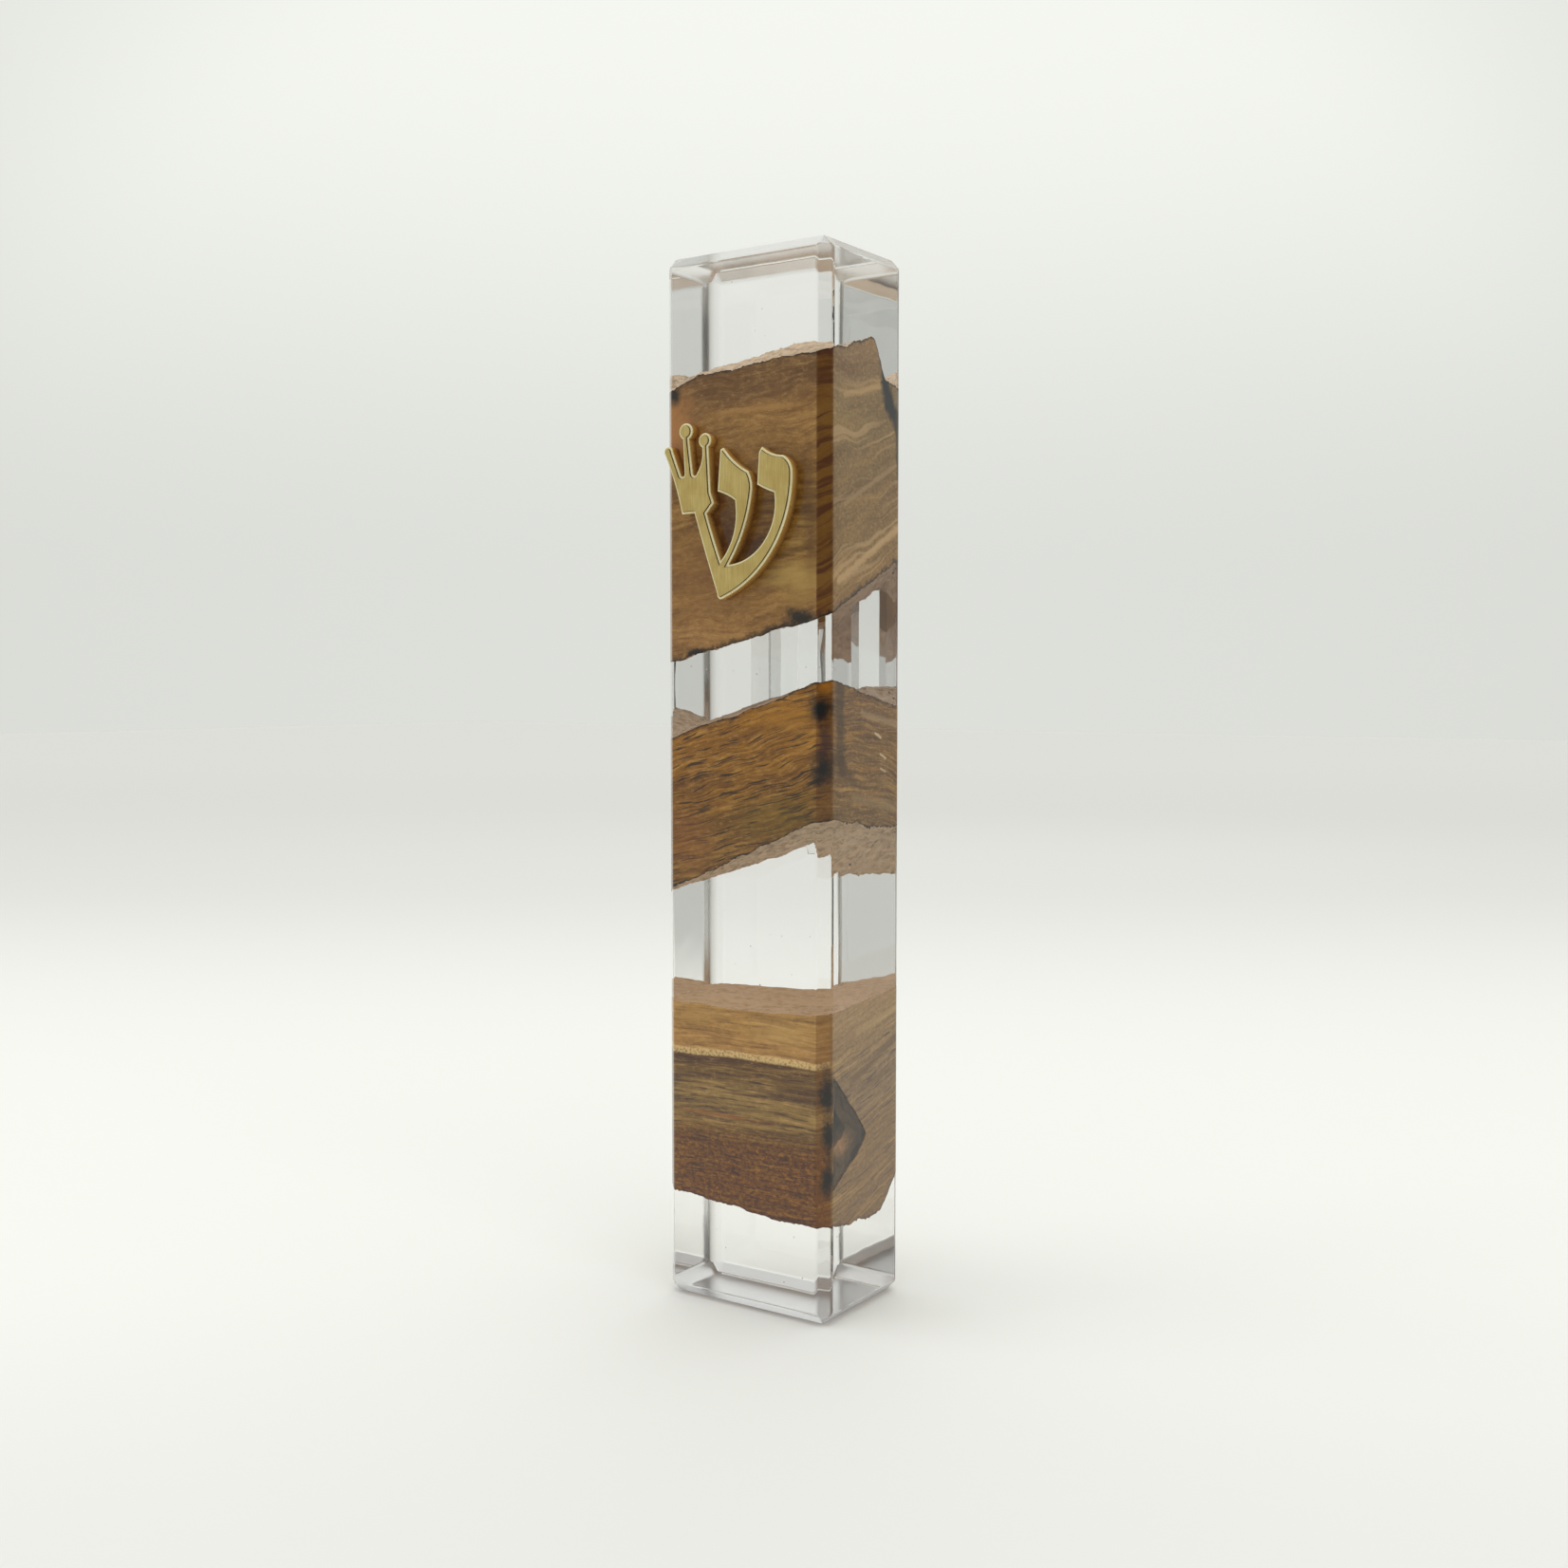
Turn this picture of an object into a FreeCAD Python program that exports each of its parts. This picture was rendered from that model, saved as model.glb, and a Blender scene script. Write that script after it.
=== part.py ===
import FreeCAD, Part
import Sketcher
import math
import os

# A mezuzah case: a clear cast bar with three blocks of wood set in it, a brass letter
# on its front, and a slot for the scroll milled into its back under a clear cover.
# The slot stays behind the two upper blocks, which hide it from the front.
# Millimetres. The origin is the centre of the base, +Z is up, the front faces -Y and
# the back, which goes against the doorpost, faces +Y.

V = FreeCAD.Vector
DOC = FreeCAD.newDocument("mezuzah_case")

# ---------------------------------------------------------------- driving sizes
SIZES = {
    "case_width": 26.2,         # along X
    "case_depth": 19.3,         # along Y
    "case_height": 140.0,       # along Z
    "edge_bevel": 1.5,          # leg of the 45 degree bevel on all twelve edges
    "slot_width": 7.5,          # scroll slot, open at the back
    "slot_floor": 12.3,         # from the front face to the slot's floor
    "slot_low": 62.5,           # lower end of the slot, just inside the middle wood
    "slot_length": 61.0,        # room for a rolled 60 mm scroll
    "slot_corner": 1.5,         # cutter radius in the slot's corners
    "cover_margin": 2.25,       # how far the cover reaches past the slot all round
    "cover_thickness": 0.8,     # thinner than the tape, so the tape meets the wall
    "cover_gap": 0.05,          # between the back face and the cover
    "nail_notch": 2.5,          # radius of the half-round notch to lift the cover by
    "letter_x": -2.2,           # foot of the letter, on the front face
    "letter_z": 94.4,
    "letter_thickness": 1.7,
    "tape_width": 4.0,
    "tape_length": 20.0,
    "tape_thickness": 1.0,
    "tape_offset": 8.9,         # from the middle of the back to a strip's middle
    "tape_low": 20.0,           # foot of the two lower strips
    "tape_high": 101.0,         # foot of the two upper strips
    "cut_low": 25.0,            # heights inside the three wood blocks, where the
    "cut_middle": 71.0,         # clear castings above and below are told apart
    "cut_high": 108.0,
}

sheet = DOC.addObject("Spreadsheet::Sheet", "Sizes")
for row, (alias, value) in enumerate(SIZES.items(), start=1):
    sheet.set("A%d" % row, alias.replace("_", " "))
    sheet.set("B%d" % row, str(value))
    sheet.setAlias("B%d" % row, alias)
DOC.recompute()


def bound(text):
    """The expression text with each size name pointed at its cell."""
    words = text.replace("(", "( ").replace(")", " )").split()
    return " ".join("Sizes." + word if word in SIZES else word for word in words)


# ---------------------------------------------------------------- sketched pieces
def plane(body, role):
    """The body's own origin plane with this role."""
    for feature in body.Origin.OriginFeatures:
        if feature.Role == role:
            return feature
    raise ValueError("no plane " + role)


def front_sketch(body, name, y_place, x_place="0", z_place="0"):
    """A sketch that faces the front, with its own origin at the three places."""
    sketch = body.newObject("Sketcher::SketchObject", name)
    sketch.AttachmentSupport = (plane(body, "XZ_Plane"), [""])
    sketch.MapMode = "FlatFace"
    sketch.setExpression("AttachmentOffset.Base.x", bound(x_place))
    sketch.setExpression("AttachmentOffset.Base.y", bound(z_place))
    sketch.setExpression("AttachmentOffset.Base.z", bound("0 - ( %s )" % y_place))
    return sketch


def rectangle(sketch, width, rise):
    """A rectangle standing on the sketch's X axis and centred on its Y axis."""
    start = 10.0        # drawn as a square first; its two sizes then stretch it
    half = start / 2
    corners = [V(-half, 0, 0), V(half, 0, 0), V(half, start, 0), V(-half, start, 0)]
    for index, corner in enumerate(corners):
        following = corners[(index + 1) % 4]
        sketch.addGeometry(Part.LineSegment(corner, following), False)
    for index in range(4):
        join = Sketcher.Constraint("Coincident", index, 2, (index + 1) % 4, 1)
        sketch.addConstraint(join)
    for line in (0, 2):
        sketch.addConstraint(Sketcher.Constraint("Horizontal", line))
    for line in (1, 3):
        sketch.addConstraint(Sketcher.Constraint("Vertical", line))
    sketch.addConstraint(Sketcher.Constraint("Symmetric", 0, 1, 0, 2, -1, 1))
    across = sketch.addConstraint(Sketcher.Constraint("DistanceX", 0, 1, 0, 2, start))
    upward = sketch.addConstraint(Sketcher.Constraint("DistanceY", 1, 1, 1, 2, start))
    sketch.setExpression("Constraints[%d]" % across, bound(width))
    sketch.setExpression("Constraints[%d]" % upward, bound(rise))


def edges_along(shape, axis):
    """Names of the shape's straight edges that run along an axis."""
    names = []
    for index, edge in enumerate(shape.Edges, start=1):
        run = edge.lastVertex().Point - edge.firstVertex().Point
        if run.Length > 0 and abs(run.normalize().dot(axis)) > 0.999:
            names.append("Edge%d" % index)
    return names


def slab(label, width, foot, rise, back, thickness, corner=None, centre="0"):
    """An upright plate: its rear face at Y = back, its four corners rounded."""
    body = DOC.addObject("PartDesign::Body", label)
    body.Label = label
    sketch = front_sketch(body, label + "_outline", back, centre, foot)
    rectangle(sketch, width, rise)
    pad = body.newObject("PartDesign::Pad", label + "_pad")
    pad.Profile = sketch
    pad.setExpression("Length", bound(thickness))
    sketch.Visibility = False
    DOC.recompute()
    if corner:
        rounding = body.newObject("PartDesign::Fillet", label + "_corners")
        rounding.Base = (pad, edges_along(pad.Shape, V(0, 1, 0)))
        rounding.setExpression("Radius", bound(corner))
        DOC.recompute()
    return body


def make_bar():
    """The whole outside of the case: a square-ended bar, bevelled all round."""
    bar = slab("bar", "case_width", "0", "case_height", "case_depth / 2", "case_depth")
    pad = bar.Tip
    bevel = bar.newObject("PartDesign::Chamfer", "bar_bevels")
    bevel.Base = (pad, ["Edge%d" % n for n in range(1, len(pad.Shape.Edges) + 1)])
    bevel.setExpression("Size", bound("edge_bevel"))
    DOC.recompute()
    return bar


def make_cover():
    """The clear strip that lies on the back over the slot, with a nail notch below."""
    cover = slab(
        "back_cover",
        width="slot_width + 2 * cover_margin",
        foot="slot_low - cover_margin",
        rise="slot_length + 2 * cover_margin",
        back="case_depth / 2 + cover_gap + cover_thickness",
        thickness="cover_thickness",
        corner="slot_corner",
    )
    whole = cover.Shape.Volume
    sketch = front_sketch(
        cover, "nail_notch_outline", "case_depth / 2", "0", "slot_low - cover_margin")
    radius = SIZES["nail_notch"]
    sketch.addGeometry(Part.Circle(V(0, 0, 0), V(0, 0, 1), radius), False)
    sketch.addConstraint(Sketcher.Constraint("Coincident", 0, 3, -1, 1))
    size = sketch.addConstraint(Sketcher.Constraint("Radius", 0, radius))
    sketch.setExpression("Constraints[%d]" % size, bound("nail_notch"))
    notch = cover.newObject("PartDesign::Pocket", "nail_notch_cut")
    notch.Profile = sketch
    notch.Type = "ThroughAll"
    notch.Midplane = True
    sketch.Visibility = False
    DOC.recompute()
    removed = whole - cover.Shape.Volume
    expected = math.pi * radius ** 2 / 2 * SIZES["cover_thickness"]
    if abs(removed - expected) > 0.2 * expected:
        raise ValueError("the nail notch removed %.2f mm3" % removed)
    return cover


# ---------------------------------------------------------------- the letter
# The letter shin in the scribal manner: a slanting stem with a broad head that wears
# a crown of three balls, a curved middle arm and a long curved right arm. One
# closed outline from the foot's left side, clockwise seen from the front. Each step
# is a straight run to a point, or an arc through one point to the next.
LETTER_START = (-6.5, 11.4)
LETTER_PATH = [
    ((-9.3, 19.3), (-7.5, 14.95)),      # left edge of the head and first prong
    ((-8.05, 19.7), (-8.85, 20.4)),     # ball of the first prong
    ((-6.75, 16.55), None),
    ((-6.05, 16.55), (-6.4, 16.3)),     # hollow between first and middle prong
    ((-6.3, 21.2), None),
    ((-5.35, 21.2), (-5.85, 23.25)),    # ball of the middle prong
    ((-4.75, 16.6), None),
    ((-4.05, 16.6), (-4.4, 16.3)),      # hollow between middle and last prong
    ((-3.15, 19.9), (-3.3, 18.0)),
    ((-2.2, 19.95), (-2.7, 21.75)),     # ball of the last prong
    ((-1.85, 14.0), None),
    ((-1.3, 12.6), None),               # right corner of the head
    ((-2.5, 11.3), None),
    ((-0.2, 5.0), (-1.35, 8.0)),        # right edge of the stem
    ((2.25, 11.5), (1.6, 7.7)),         # left edge of the middle arm
    ((2.15, 12.75), None),
    ((-0.65, 14.05), (0.85, 13.5)),     # underside of its head
    ((-0.2, 19.4), None),
    ((0.25, 19.65), None),
    ((4.2, 16.35), (1.95, 17.85)),      # top of its head
    ((4.75, 13.6), (4.7, 15.2)),
    ((1.05, 4.5), (3.6, 9.2)),          # right edge of the middle arm
    ((8.4, 12.4), (6.6, 7.2)),          # inside of the right arm
    ((8.3, 13.4), None),
    ((5.65, 14.55), (7.1, 13.85)),      # underside of its head
    ((5.95, 18.7), None),
    ((6.4, 19.3), None),
    ((9.6, 18.05), (7.9, 18.4)),        # top of its head
    ((11.05, 15.6), (10.7, 17.05)),
    ((0.15, 0.2), (8.3, 6.6)),          # outside of the right arm, down to the foot
    ((-0.75, 0.75), (-0.35, 0.1)),      # the rounded foot
    ((-4.45, 11.45), (-3.0, 7.1)),      # left edge of the stem
    (LETTER_START, None),               # underside of the head
]


def make_letter():
    """The letter, cut from plate and glued flat on the front face."""
    body = DOC.addObject("PartDesign::Body", "shin_letter")
    body.Label = "shin_letter"
    sketch = front_sketch(
        body, "letter_outline", "0 - case_depth / 2", "letter_x", "letter_z")
    here = V(LETTER_START[0], LETTER_START[1], 0)
    for end, through in LETTER_PATH:
        there = V(end[0], end[1], 0)
        if through:
            step = Part.Arc(here, V(through[0], through[1], 0), there)
        else:
            step = Part.LineSegment(here, there)
        sketch.addGeometry(step, False)
        here = there
    pad = body.newObject("PartDesign::Pad", "letter_plate")
    pad.Profile = sketch
    pad.setExpression("Length", bound("letter_thickness"))
    sketch.Visibility = False
    DOC.recompute()
    return body


# ---------------------------------------------------------------- the wood
# Heights of each block's upper and lower surface, at five places across the case
# and at several depths from front to back. The surfaces are straight between them.
ACROSS = (-14.0, -7.0, -1.5, 5.0, 14.0)
WOOD = {
    "upper_wood": {
        -11.0: ((120.9, 123.7, 123.7, 124.7, 125.0), (85.6, 87.2, 88.4, 89.9, 91.3)),
        1.7: ((125.4, 126.2, 127.1, 128.0, 128.6), (88.0, 89.3, 91.0, 93.5, 97.5)),
        4.3: ((124.8, 125.4, 125.8, 125.0, 123.4), (89.0, 90.4, 92.2, 95.0, 98.8)),
        11.0: ((124.4, 124.8, 125.0, 124.0, 122.2), (91.5, 93.0, 95.0, 97.5, 101.0)),
    },
    "middle_wood": {
        -11.0: ((75.0, 77.7, 79.0, 81.0, 84.9), (54.6, 57.8, 60.3, 63.2, 67.0)),
        0.0: ((77.0, 79.0, 80.8, 82.6, 82.1), (55.6, 58.0, 60.2, 62.8, 65.0)),
        11.0: ((78.2, 80.2, 82.2, 83.2, 79.2), (56.4, 58.2, 60.2, 62.2, 64.2)),
    },
    "lower_wood": {
        -11.0: ((40.4, 40.4, 40.2, 40.3, 40.8), (14.4, 14.1, 13.8, 13.2, 13.1)),
        3.8: ((40.9, 41.1, 41.2, 41.4, 42.0), (16.2, 15.0, 13.9, 12.8, 12.0)),
        11.0: ((41.2, 41.5, 41.7, 42.0, 42.4), (19.0, 18.2, 17.8, 18.4, 20.2)),
    },
}


def make_wood_form(name, sections):
    """A block of wood before it is cut to the case's outside: a loft front to back."""
    outlines = []
    for depth, (tops, bottoms) in sections.items():
        outline = DOC.addObject("Part::Polygon", "%s_outline" % name)
        lower = [V(x, depth, z) for x, z in zip(ACROSS, bottoms)]
        upper = [V(x, depth, z) for x, z in zip(ACROSS, tops)]
        outline.Nodes = lower + upper[::-1]
        outline.Close = True
        outline.Visibility = False
        outlines.append(outline)
    form = DOC.addObject("Part::Loft", name + "_form")
    form.Sections = outlines
    form.Solid = True
    form.Ruled = True
    DOC.recompute()
    return form


def boolean(kind, label, parts):
    """A Part boolean of two or more objects."""
    result = DOC.addObject("Part::" + kind, label)
    result.Label = label
    if kind == "Cut":
        result.Base, result.Tool = parts
    else:
        result.Shapes = parts
    DOC.recompute()
    return result


def make_region(name, low, high):
    """A box that reaches past the bar's sides, from one height to another."""
    region = DOC.addObject("Part::Box", name)
    region.setExpression("Length", bound("2 * case_width"))
    region.setExpression("Width", bound("2 * case_depth"))
    region.setExpression("Height", bound("%s - %s" % (high, low)))
    region.setExpression("Placement.Base.x", bound("0 - case_width"))
    region.setExpression("Placement.Base.y", bound("0 - case_depth"))
    region.setExpression("Placement.Base.z", bound(low))
    DOC.recompute()
    return region


# ---------------------------------------------------------------- assembly
bar = make_bar()
slot_cutter = slab(
    "slot_cutter",
    width="slot_width",
    foot="slot_low",
    rise="slot_length",
    back="case_depth",
    thickness="case_depth * 1.5 - slot_floor",
    corner="slot_corner",
)

nodes = []
forms = []
for name, sections in WOOD.items():
    form = make_wood_form(name, sections)
    trimmed = boolean("MultiCommon", name + "_trimmed", [bar, form])
    nodes.append(boolean("Cut", name, [trimmed, slot_cutter]))
    forms.append(form)

not_resin = boolean("MultiFuse", "not_resin", forms + [slot_cutter])
CASTINGS = [
    ("base_resin", "0 - edge_bevel", "cut_low"),
    ("lower_window_resin", "cut_low", "cut_middle"),
    ("upper_window_resin", "cut_middle", "cut_high"),
    ("top_resin", "cut_high", "case_height + edge_bevel"),
]
for name, low, high in CASTINGS:
    region = make_region(name + "_region", low, high)
    piece = boolean("MultiCommon", name + "_trimmed", [bar, region])
    nodes.append(boolean("Cut", name, [piece, not_resin]))

nodes.append(make_letter())
nodes.append(make_cover())
for height, foot in (("lower", "tape_low"), ("upper", "tape_high")):
    for side, sign in (("left", "0 - tape_offset"), ("right", "tape_offset")):
        strip = slab(
            "tape_%s_%s" % (height, side),
            width="tape_width",
            foot=foot,
            rise="tape_length",
            back="case_depth / 2 + tape_thickness",
            thickness="tape_thickness",
            centre=sign,
        )
        nodes.append(strip)

# ---------------------------------------------------------------- checks and files
DOC.recompute()
for item in DOC.Objects:
    if "Invalid" in item.State or "Error" in item.State:
        raise ValueError("%s did not build" % item.Label)

os.makedirs("parts", exist_ok=True)
for node in nodes:
    shape = node.Shape
    if shape.isNull() or not shape.isValid() or len(shape.Solids) != 1:
        raise ValueError("%s is not one valid solid" % node.Label)
    box = shape.optimalBoundingBox()
    print("%-20s %9.2f mm3  x %.2f..%.2f  y %.2f..%.2f  z %.2f..%.2f" % (
        node.Label, shape.Volume, box.XMin, box.XMax, box.YMin, box.YMax,
        box.ZMin, box.ZMax))
    shape.exportStep("parts/%s.step" % node.Label)
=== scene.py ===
import math
import random

import bmesh
import bpy
import numpy as np
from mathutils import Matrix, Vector, noise
from mathutils.bvhtree import BVHTree


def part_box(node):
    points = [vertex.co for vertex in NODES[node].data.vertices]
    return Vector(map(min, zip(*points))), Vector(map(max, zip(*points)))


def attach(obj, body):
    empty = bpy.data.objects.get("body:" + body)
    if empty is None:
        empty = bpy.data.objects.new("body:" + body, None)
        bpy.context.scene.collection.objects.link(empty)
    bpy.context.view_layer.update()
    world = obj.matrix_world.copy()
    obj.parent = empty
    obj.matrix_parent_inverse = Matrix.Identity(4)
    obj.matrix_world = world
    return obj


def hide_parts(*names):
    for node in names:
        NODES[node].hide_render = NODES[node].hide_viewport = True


# The looks of a mezuzah case: a clear cast bar with three blocks of wood set in it, a
# brass letter on its front, a milled slot in its back under a clear cover, and foam
# tape. Lengths in this script are millimetres, and meshes are scaled to metres as they
# are made. +Z is up, the front faces -Y and the back faces +Y.

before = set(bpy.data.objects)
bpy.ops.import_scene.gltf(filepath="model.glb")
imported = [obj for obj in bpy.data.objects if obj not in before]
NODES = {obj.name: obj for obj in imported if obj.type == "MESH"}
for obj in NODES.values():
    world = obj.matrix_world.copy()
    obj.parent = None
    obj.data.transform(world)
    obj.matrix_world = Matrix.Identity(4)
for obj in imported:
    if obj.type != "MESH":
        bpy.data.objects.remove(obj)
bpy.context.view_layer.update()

MM = 0.001


def box_mm(node):
    """A CAD node's lowest and highest corners, in millimetres."""
    low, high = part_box(node)
    return low / MM, high / MM


# -------------------- sizes from the frame
BASE_HIGH = box_mm("base_resin")[1]
HALF_WIDTH = BASE_HIGH.x
HALF_DEPTH = BASE_HIGH.y
HEIGHT = box_mm("top_resin")[1].z
FOOT_HALF_WIDTH = max(v.co.x for v in NODES["base_resin"].data.vertices
                      if v.co.z < 0.01 * MM) / MM
BEVEL = HALF_WIDTH - FOOT_HALF_WIDTH

EDGE_REACH = 0.3         # how far the softening of the bar's edges reaches
REAR_EDGE_REACH = 0.55   # and on the edges of the two rear bevels
PROUD = 0.02             # wood stands this far out of the resin, so no faces coincide
SINK = 0.12              # resin runs this far into the wood, so no air gap shows
GRID = 0.34              # spacing of the points on the wood's torn surfaces
CUTTER_RADIUS = 1.5      # corners of the milled slot
FAR = 1000.0


def ray_tree_of(names):
    """A ray-casting tree of some CAD nodes, in millimetres."""
    points, faces = [], []
    for name in names:
        start = len(points)
        mesh = NODES[name].data
        points += [v.co / MM for v in mesh.vertices]
        faces += [[start + i for i in p.vertices] for p in mesh.polygons]
    return BVHTree.FromPolygons(points, faces)


CASE_NODES = ["base_resin", "lower_wood", "lower_window_resin", "middle_wood",
              "upper_window_resin", "upper_wood", "top_resin"]


def measure_slot():
    """Half width, floor, foot and head of the milled slot, found by rays in it."""
    tree = ray_tree_of(CASE_NODES)
    middle = HEIGHT / 2
    floor = tree.ray_cast(Vector((0, FAR, middle)), Vector((0, -1, 0)))[0].y
    inside = Vector((0, (floor + HALF_DEPTH) / 2, middle))
    side = tree.ray_cast(inside, Vector((1, 0, 0)))[0].x
    foot = tree.ray_cast(inside, Vector((0, 0, -1)))[0].z
    head = tree.ray_cast(inside, Vector((0, 0, 1)))[0].z
    return side, floor, foot, head


SLOT_HALF, SLOT_FLOOR, SLOT_FOOT, SLOT_HEAD = measure_slot()


# -------------------- mesh tools
def new_object(name, points, faces):
    """An object from points in millimetres."""
    mesh = bpy.data.meshes.new(name)
    mesh.from_pydata([Vector(p) * MM for p in points], [], faces)
    mesh.update()
    made = bpy.data.objects.new(name, mesh)
    bpy.context.scene.collection.objects.link(made)
    return made


def soften(corners, reaches, steps, closed):
    """A polyline with each corner replaced by a curve of its own reach."""
    count = len(corners)
    path = []
    for index, corner in enumerate(corners):
        if not closed and index in (0, count - 1):
            path.append(corner)
            continue
        before = corners[index - 1]
        after = corners[(index + 1) % count]
        near = min(reaches[index], (before - corner).length * 0.45)
        next_near = min(reaches[index], (after - corner).length * 0.45)
        start = corner + (before - corner).normalized() * near
        end = corner + (after - corner).normalized() * next_near
        for step in range(steps + 1):
            t = step / steps
            path.append(start * (1 - t) ** 2 + corner * 2 * t * (1 - t) + end * t ** 2)
    return path


def with_spacing(path, spacing):
    """A closed path with extra points on its long straight runs."""
    full = []
    for index, here in enumerate(path):
        there = path[(index + 1) % len(path)]
        pieces = max(1, round((there - here).length / spacing))
        full += [here.lerp(there, k / pieces) for k in range(pieces)]
    return full


def bar_outline(inset, grow=0.0):
    """The bar's section, drawn in from its full size, counter-clockwise from above."""
    half_x = HALF_WIDTH - inset + grow
    half_y = HALF_DEPTH - inset + grow
    # The corner's bevel shrinks as the outline is drawn in, but never to nothing
    left_over = BEVEL - 2 * inset
    corner = max(0.5 * (left_over + math.hypot(left_over, 0.3)), 0.05)
    points = []
    reaches = []
    for sign_x, sign_y in ((1, -1), (1, 1), (-1, 1), (-1, -1)):
        reaches += [REAR_EDGE_REACH if sign_y > 0 else EDGE_REACH] * 2
        ends = [Vector((sign_x * (half_x - corner), sign_y * half_y)),
                Vector((sign_x * half_x, sign_y * (half_y - corner)))]
        points += ends if sign_x * sign_y < 0 else ends[::-1]
    return soften(points, reaches, 4, closed=True)


def stack(name, rings):
    """A closed mesh from rings of equal counts, each a list of points."""
    count = len(rings[0])
    points = [p for ring in rings for p in ring]
    faces = [list(range(count))[::-1]]
    for level in range(len(rings) - 1):
        base = level * count
        for i in range(count):
            j = (i + 1) % count
            faces.append([base + i, base + j, base + count + j, base + count + i])
    top = (len(rings) - 1) * count
    faces.append([top + i for i in range(count)])
    return new_object(name, points, faces)


def clean(piece):
    """Merges points that lie together and turns every face outwards."""
    shape = bmesh.new()
    shape.from_mesh(piece.data)
    bmesh.ops.remove_doubles(shape, verts=shape.verts, dist=0.002 * MM)
    bmesh.ops.recalc_face_normals(shape, faces=shape.faces)
    shape.to_mesh(piece.data)
    shape.free()


def bar_piece(name, low, high, bevel_low=False, bevel_high=False):
    """A length of the clear bar, with its bevelled end where it has one."""
    run = [Vector((BEVEL + 1.0, 0.0)), Vector((BEVEL, 0.0)),
           Vector((0.0, BEVEL)), Vector((0.0, BEVEL + 1.0))]
    profile = soften(run, [EDGE_REACH] * len(run), 4, closed=False)
    rings = []
    if bevel_low:
        rings += [(p.x, low + p.y) for p in profile[1:]]
    else:
        rings.append((0.0, low))
    if bevel_high:
        rings += [(p.x, high - p.y) for p in reversed(profile[1:])]
    else:
        rings.append((0.0, high))
    return stack(name, [[(q.x, q.y, z) for q in bar_outline(inset)]
                        for inset, z in rings])


def gridded_bar(name, low, high, grow, spacing, rise):
    """A length of bar with a fine grid on its sides, for wood to be cut from."""
    outline = with_spacing(bar_outline(0.0, grow), spacing)
    levels = np.linspace(low, high, max(2, round((high - low) / rise) + 1))
    return stack(name, [[(q.x, q.y, z) for q in outline] for z in levels])


def slot_cutter(name, shrink):
    """The slot as a solid: a rounded rectangle run out past the back."""
    half = SLOT_HALF - shrink
    low, high = SLOT_FOOT + shrink, SLOT_HEAD - shrink
    corners = [Vector((-half, low)), Vector((half, low)),
               Vector((half, high)), Vector((-half, high))]
    path = soften(corners, [CUTTER_RADIUS * 1.15] * len(corners), 8, closed=True)
    depths = (SLOT_FLOOR + shrink, HALF_DEPTH + 5.0)
    return stack(name, [[(p.x, y, p.y) for p in reversed(path)] for y in depths])


def combine(piece, tool, operation):
    """Applies a boolean and removes the tool."""
    modifier = piece.modifiers.new("combine", "BOOLEAN")
    modifier.object = tool
    modifier.operation = operation
    modifier.solver = "MANIFOLD"
    graph = bpy.context.evaluated_depsgraph_get()
    mesh = bpy.data.meshes.new_from_object(piece.evaluated_get(graph))
    mesh.materials.clear()
    piece.modifiers.clear()
    old = piece.data
    piece.data = mesh
    bpy.data.meshes.remove(old)
    bpy.data.objects.remove(tool)


# -------------------- the wood's surfaces
MAP_COLUMNS, MAP_ROWS = 53, 39    # about one ray for each half millimetre


class HeightMap:
    """Heights of a CAD block's upper or lower surface, read from the frame."""

    def __init__(self, node, from_above):
        tree = ray_tree_of([node])
        inside = 0.1
        self.xs = np.linspace(inside - HALF_WIDTH, HALF_WIDTH - inside, MAP_COLUMNS)
        self.ys = np.linspace(inside - HALF_DEPTH, HALF_DEPTH - inside, MAP_ROWS)
        start = FAR if from_above else -FAR
        direction = Vector((0, 0, -1 if from_above else 1))
        self.heights = np.zeros((len(self.ys), len(self.xs)))
        edge = HALF_WIDTH + HALF_DEPTH - BEVEL - inside
        for row, y in enumerate(self.ys):
            found_x, found_z = [], []
            for x in self.xs:
                if y > SLOT_FLOOR - 0.2 and abs(x) < SLOT_HALF + 0.2:
                    continue    # the slot is filled in from the wood beside it
                over = max(0.0, abs(x) + abs(y) - edge) / 2
                place = Vector((x - math.copysign(over, x),
                                y - math.copysign(over, y), start))
                point = tree.ray_cast(place, direction)[0]
                if point is not None:
                    found_x.append(x)
                    found_z.append(point.z)
            self.heights[row] = np.interp(self.xs, found_x, found_z)

    def at(self, x, y):
        """The height at a place, between the places that were read."""
        u = np.interp(x, self.xs, np.arange(len(self.xs)))
        v = np.interp(y, self.ys, np.arange(len(self.ys)))
        i, j = min(int(u), len(self.xs) - 2), min(int(v), len(self.ys) - 2)
        u, v = u - i, v - j
        near = self.heights[j, i] * (1 - u) + self.heights[j, i + 1] * u
        far = self.heights[j + 1, i] * (1 - u) + self.heights[j + 1, i + 1] * u
        return near * (1 - v) + far * v


def roughness_of(x, y, seed, size):
    """How far torn wood stands above its mean surface: lumps, fibres and crumbs."""
    lumps = noise.noise(Vector((x * 0.35, y * 0.45, seed))) * 0.45
    fibres = noise.noise(Vector((x * 0.55, y * 2.6, seed + 7.0))) * 0.28
    crumbs = noise.noise(Vector((x * 2.3, y * 2.6, seed + 3.0))) * 0.22
    return size * (lumps + fibres + crumbs)


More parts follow.
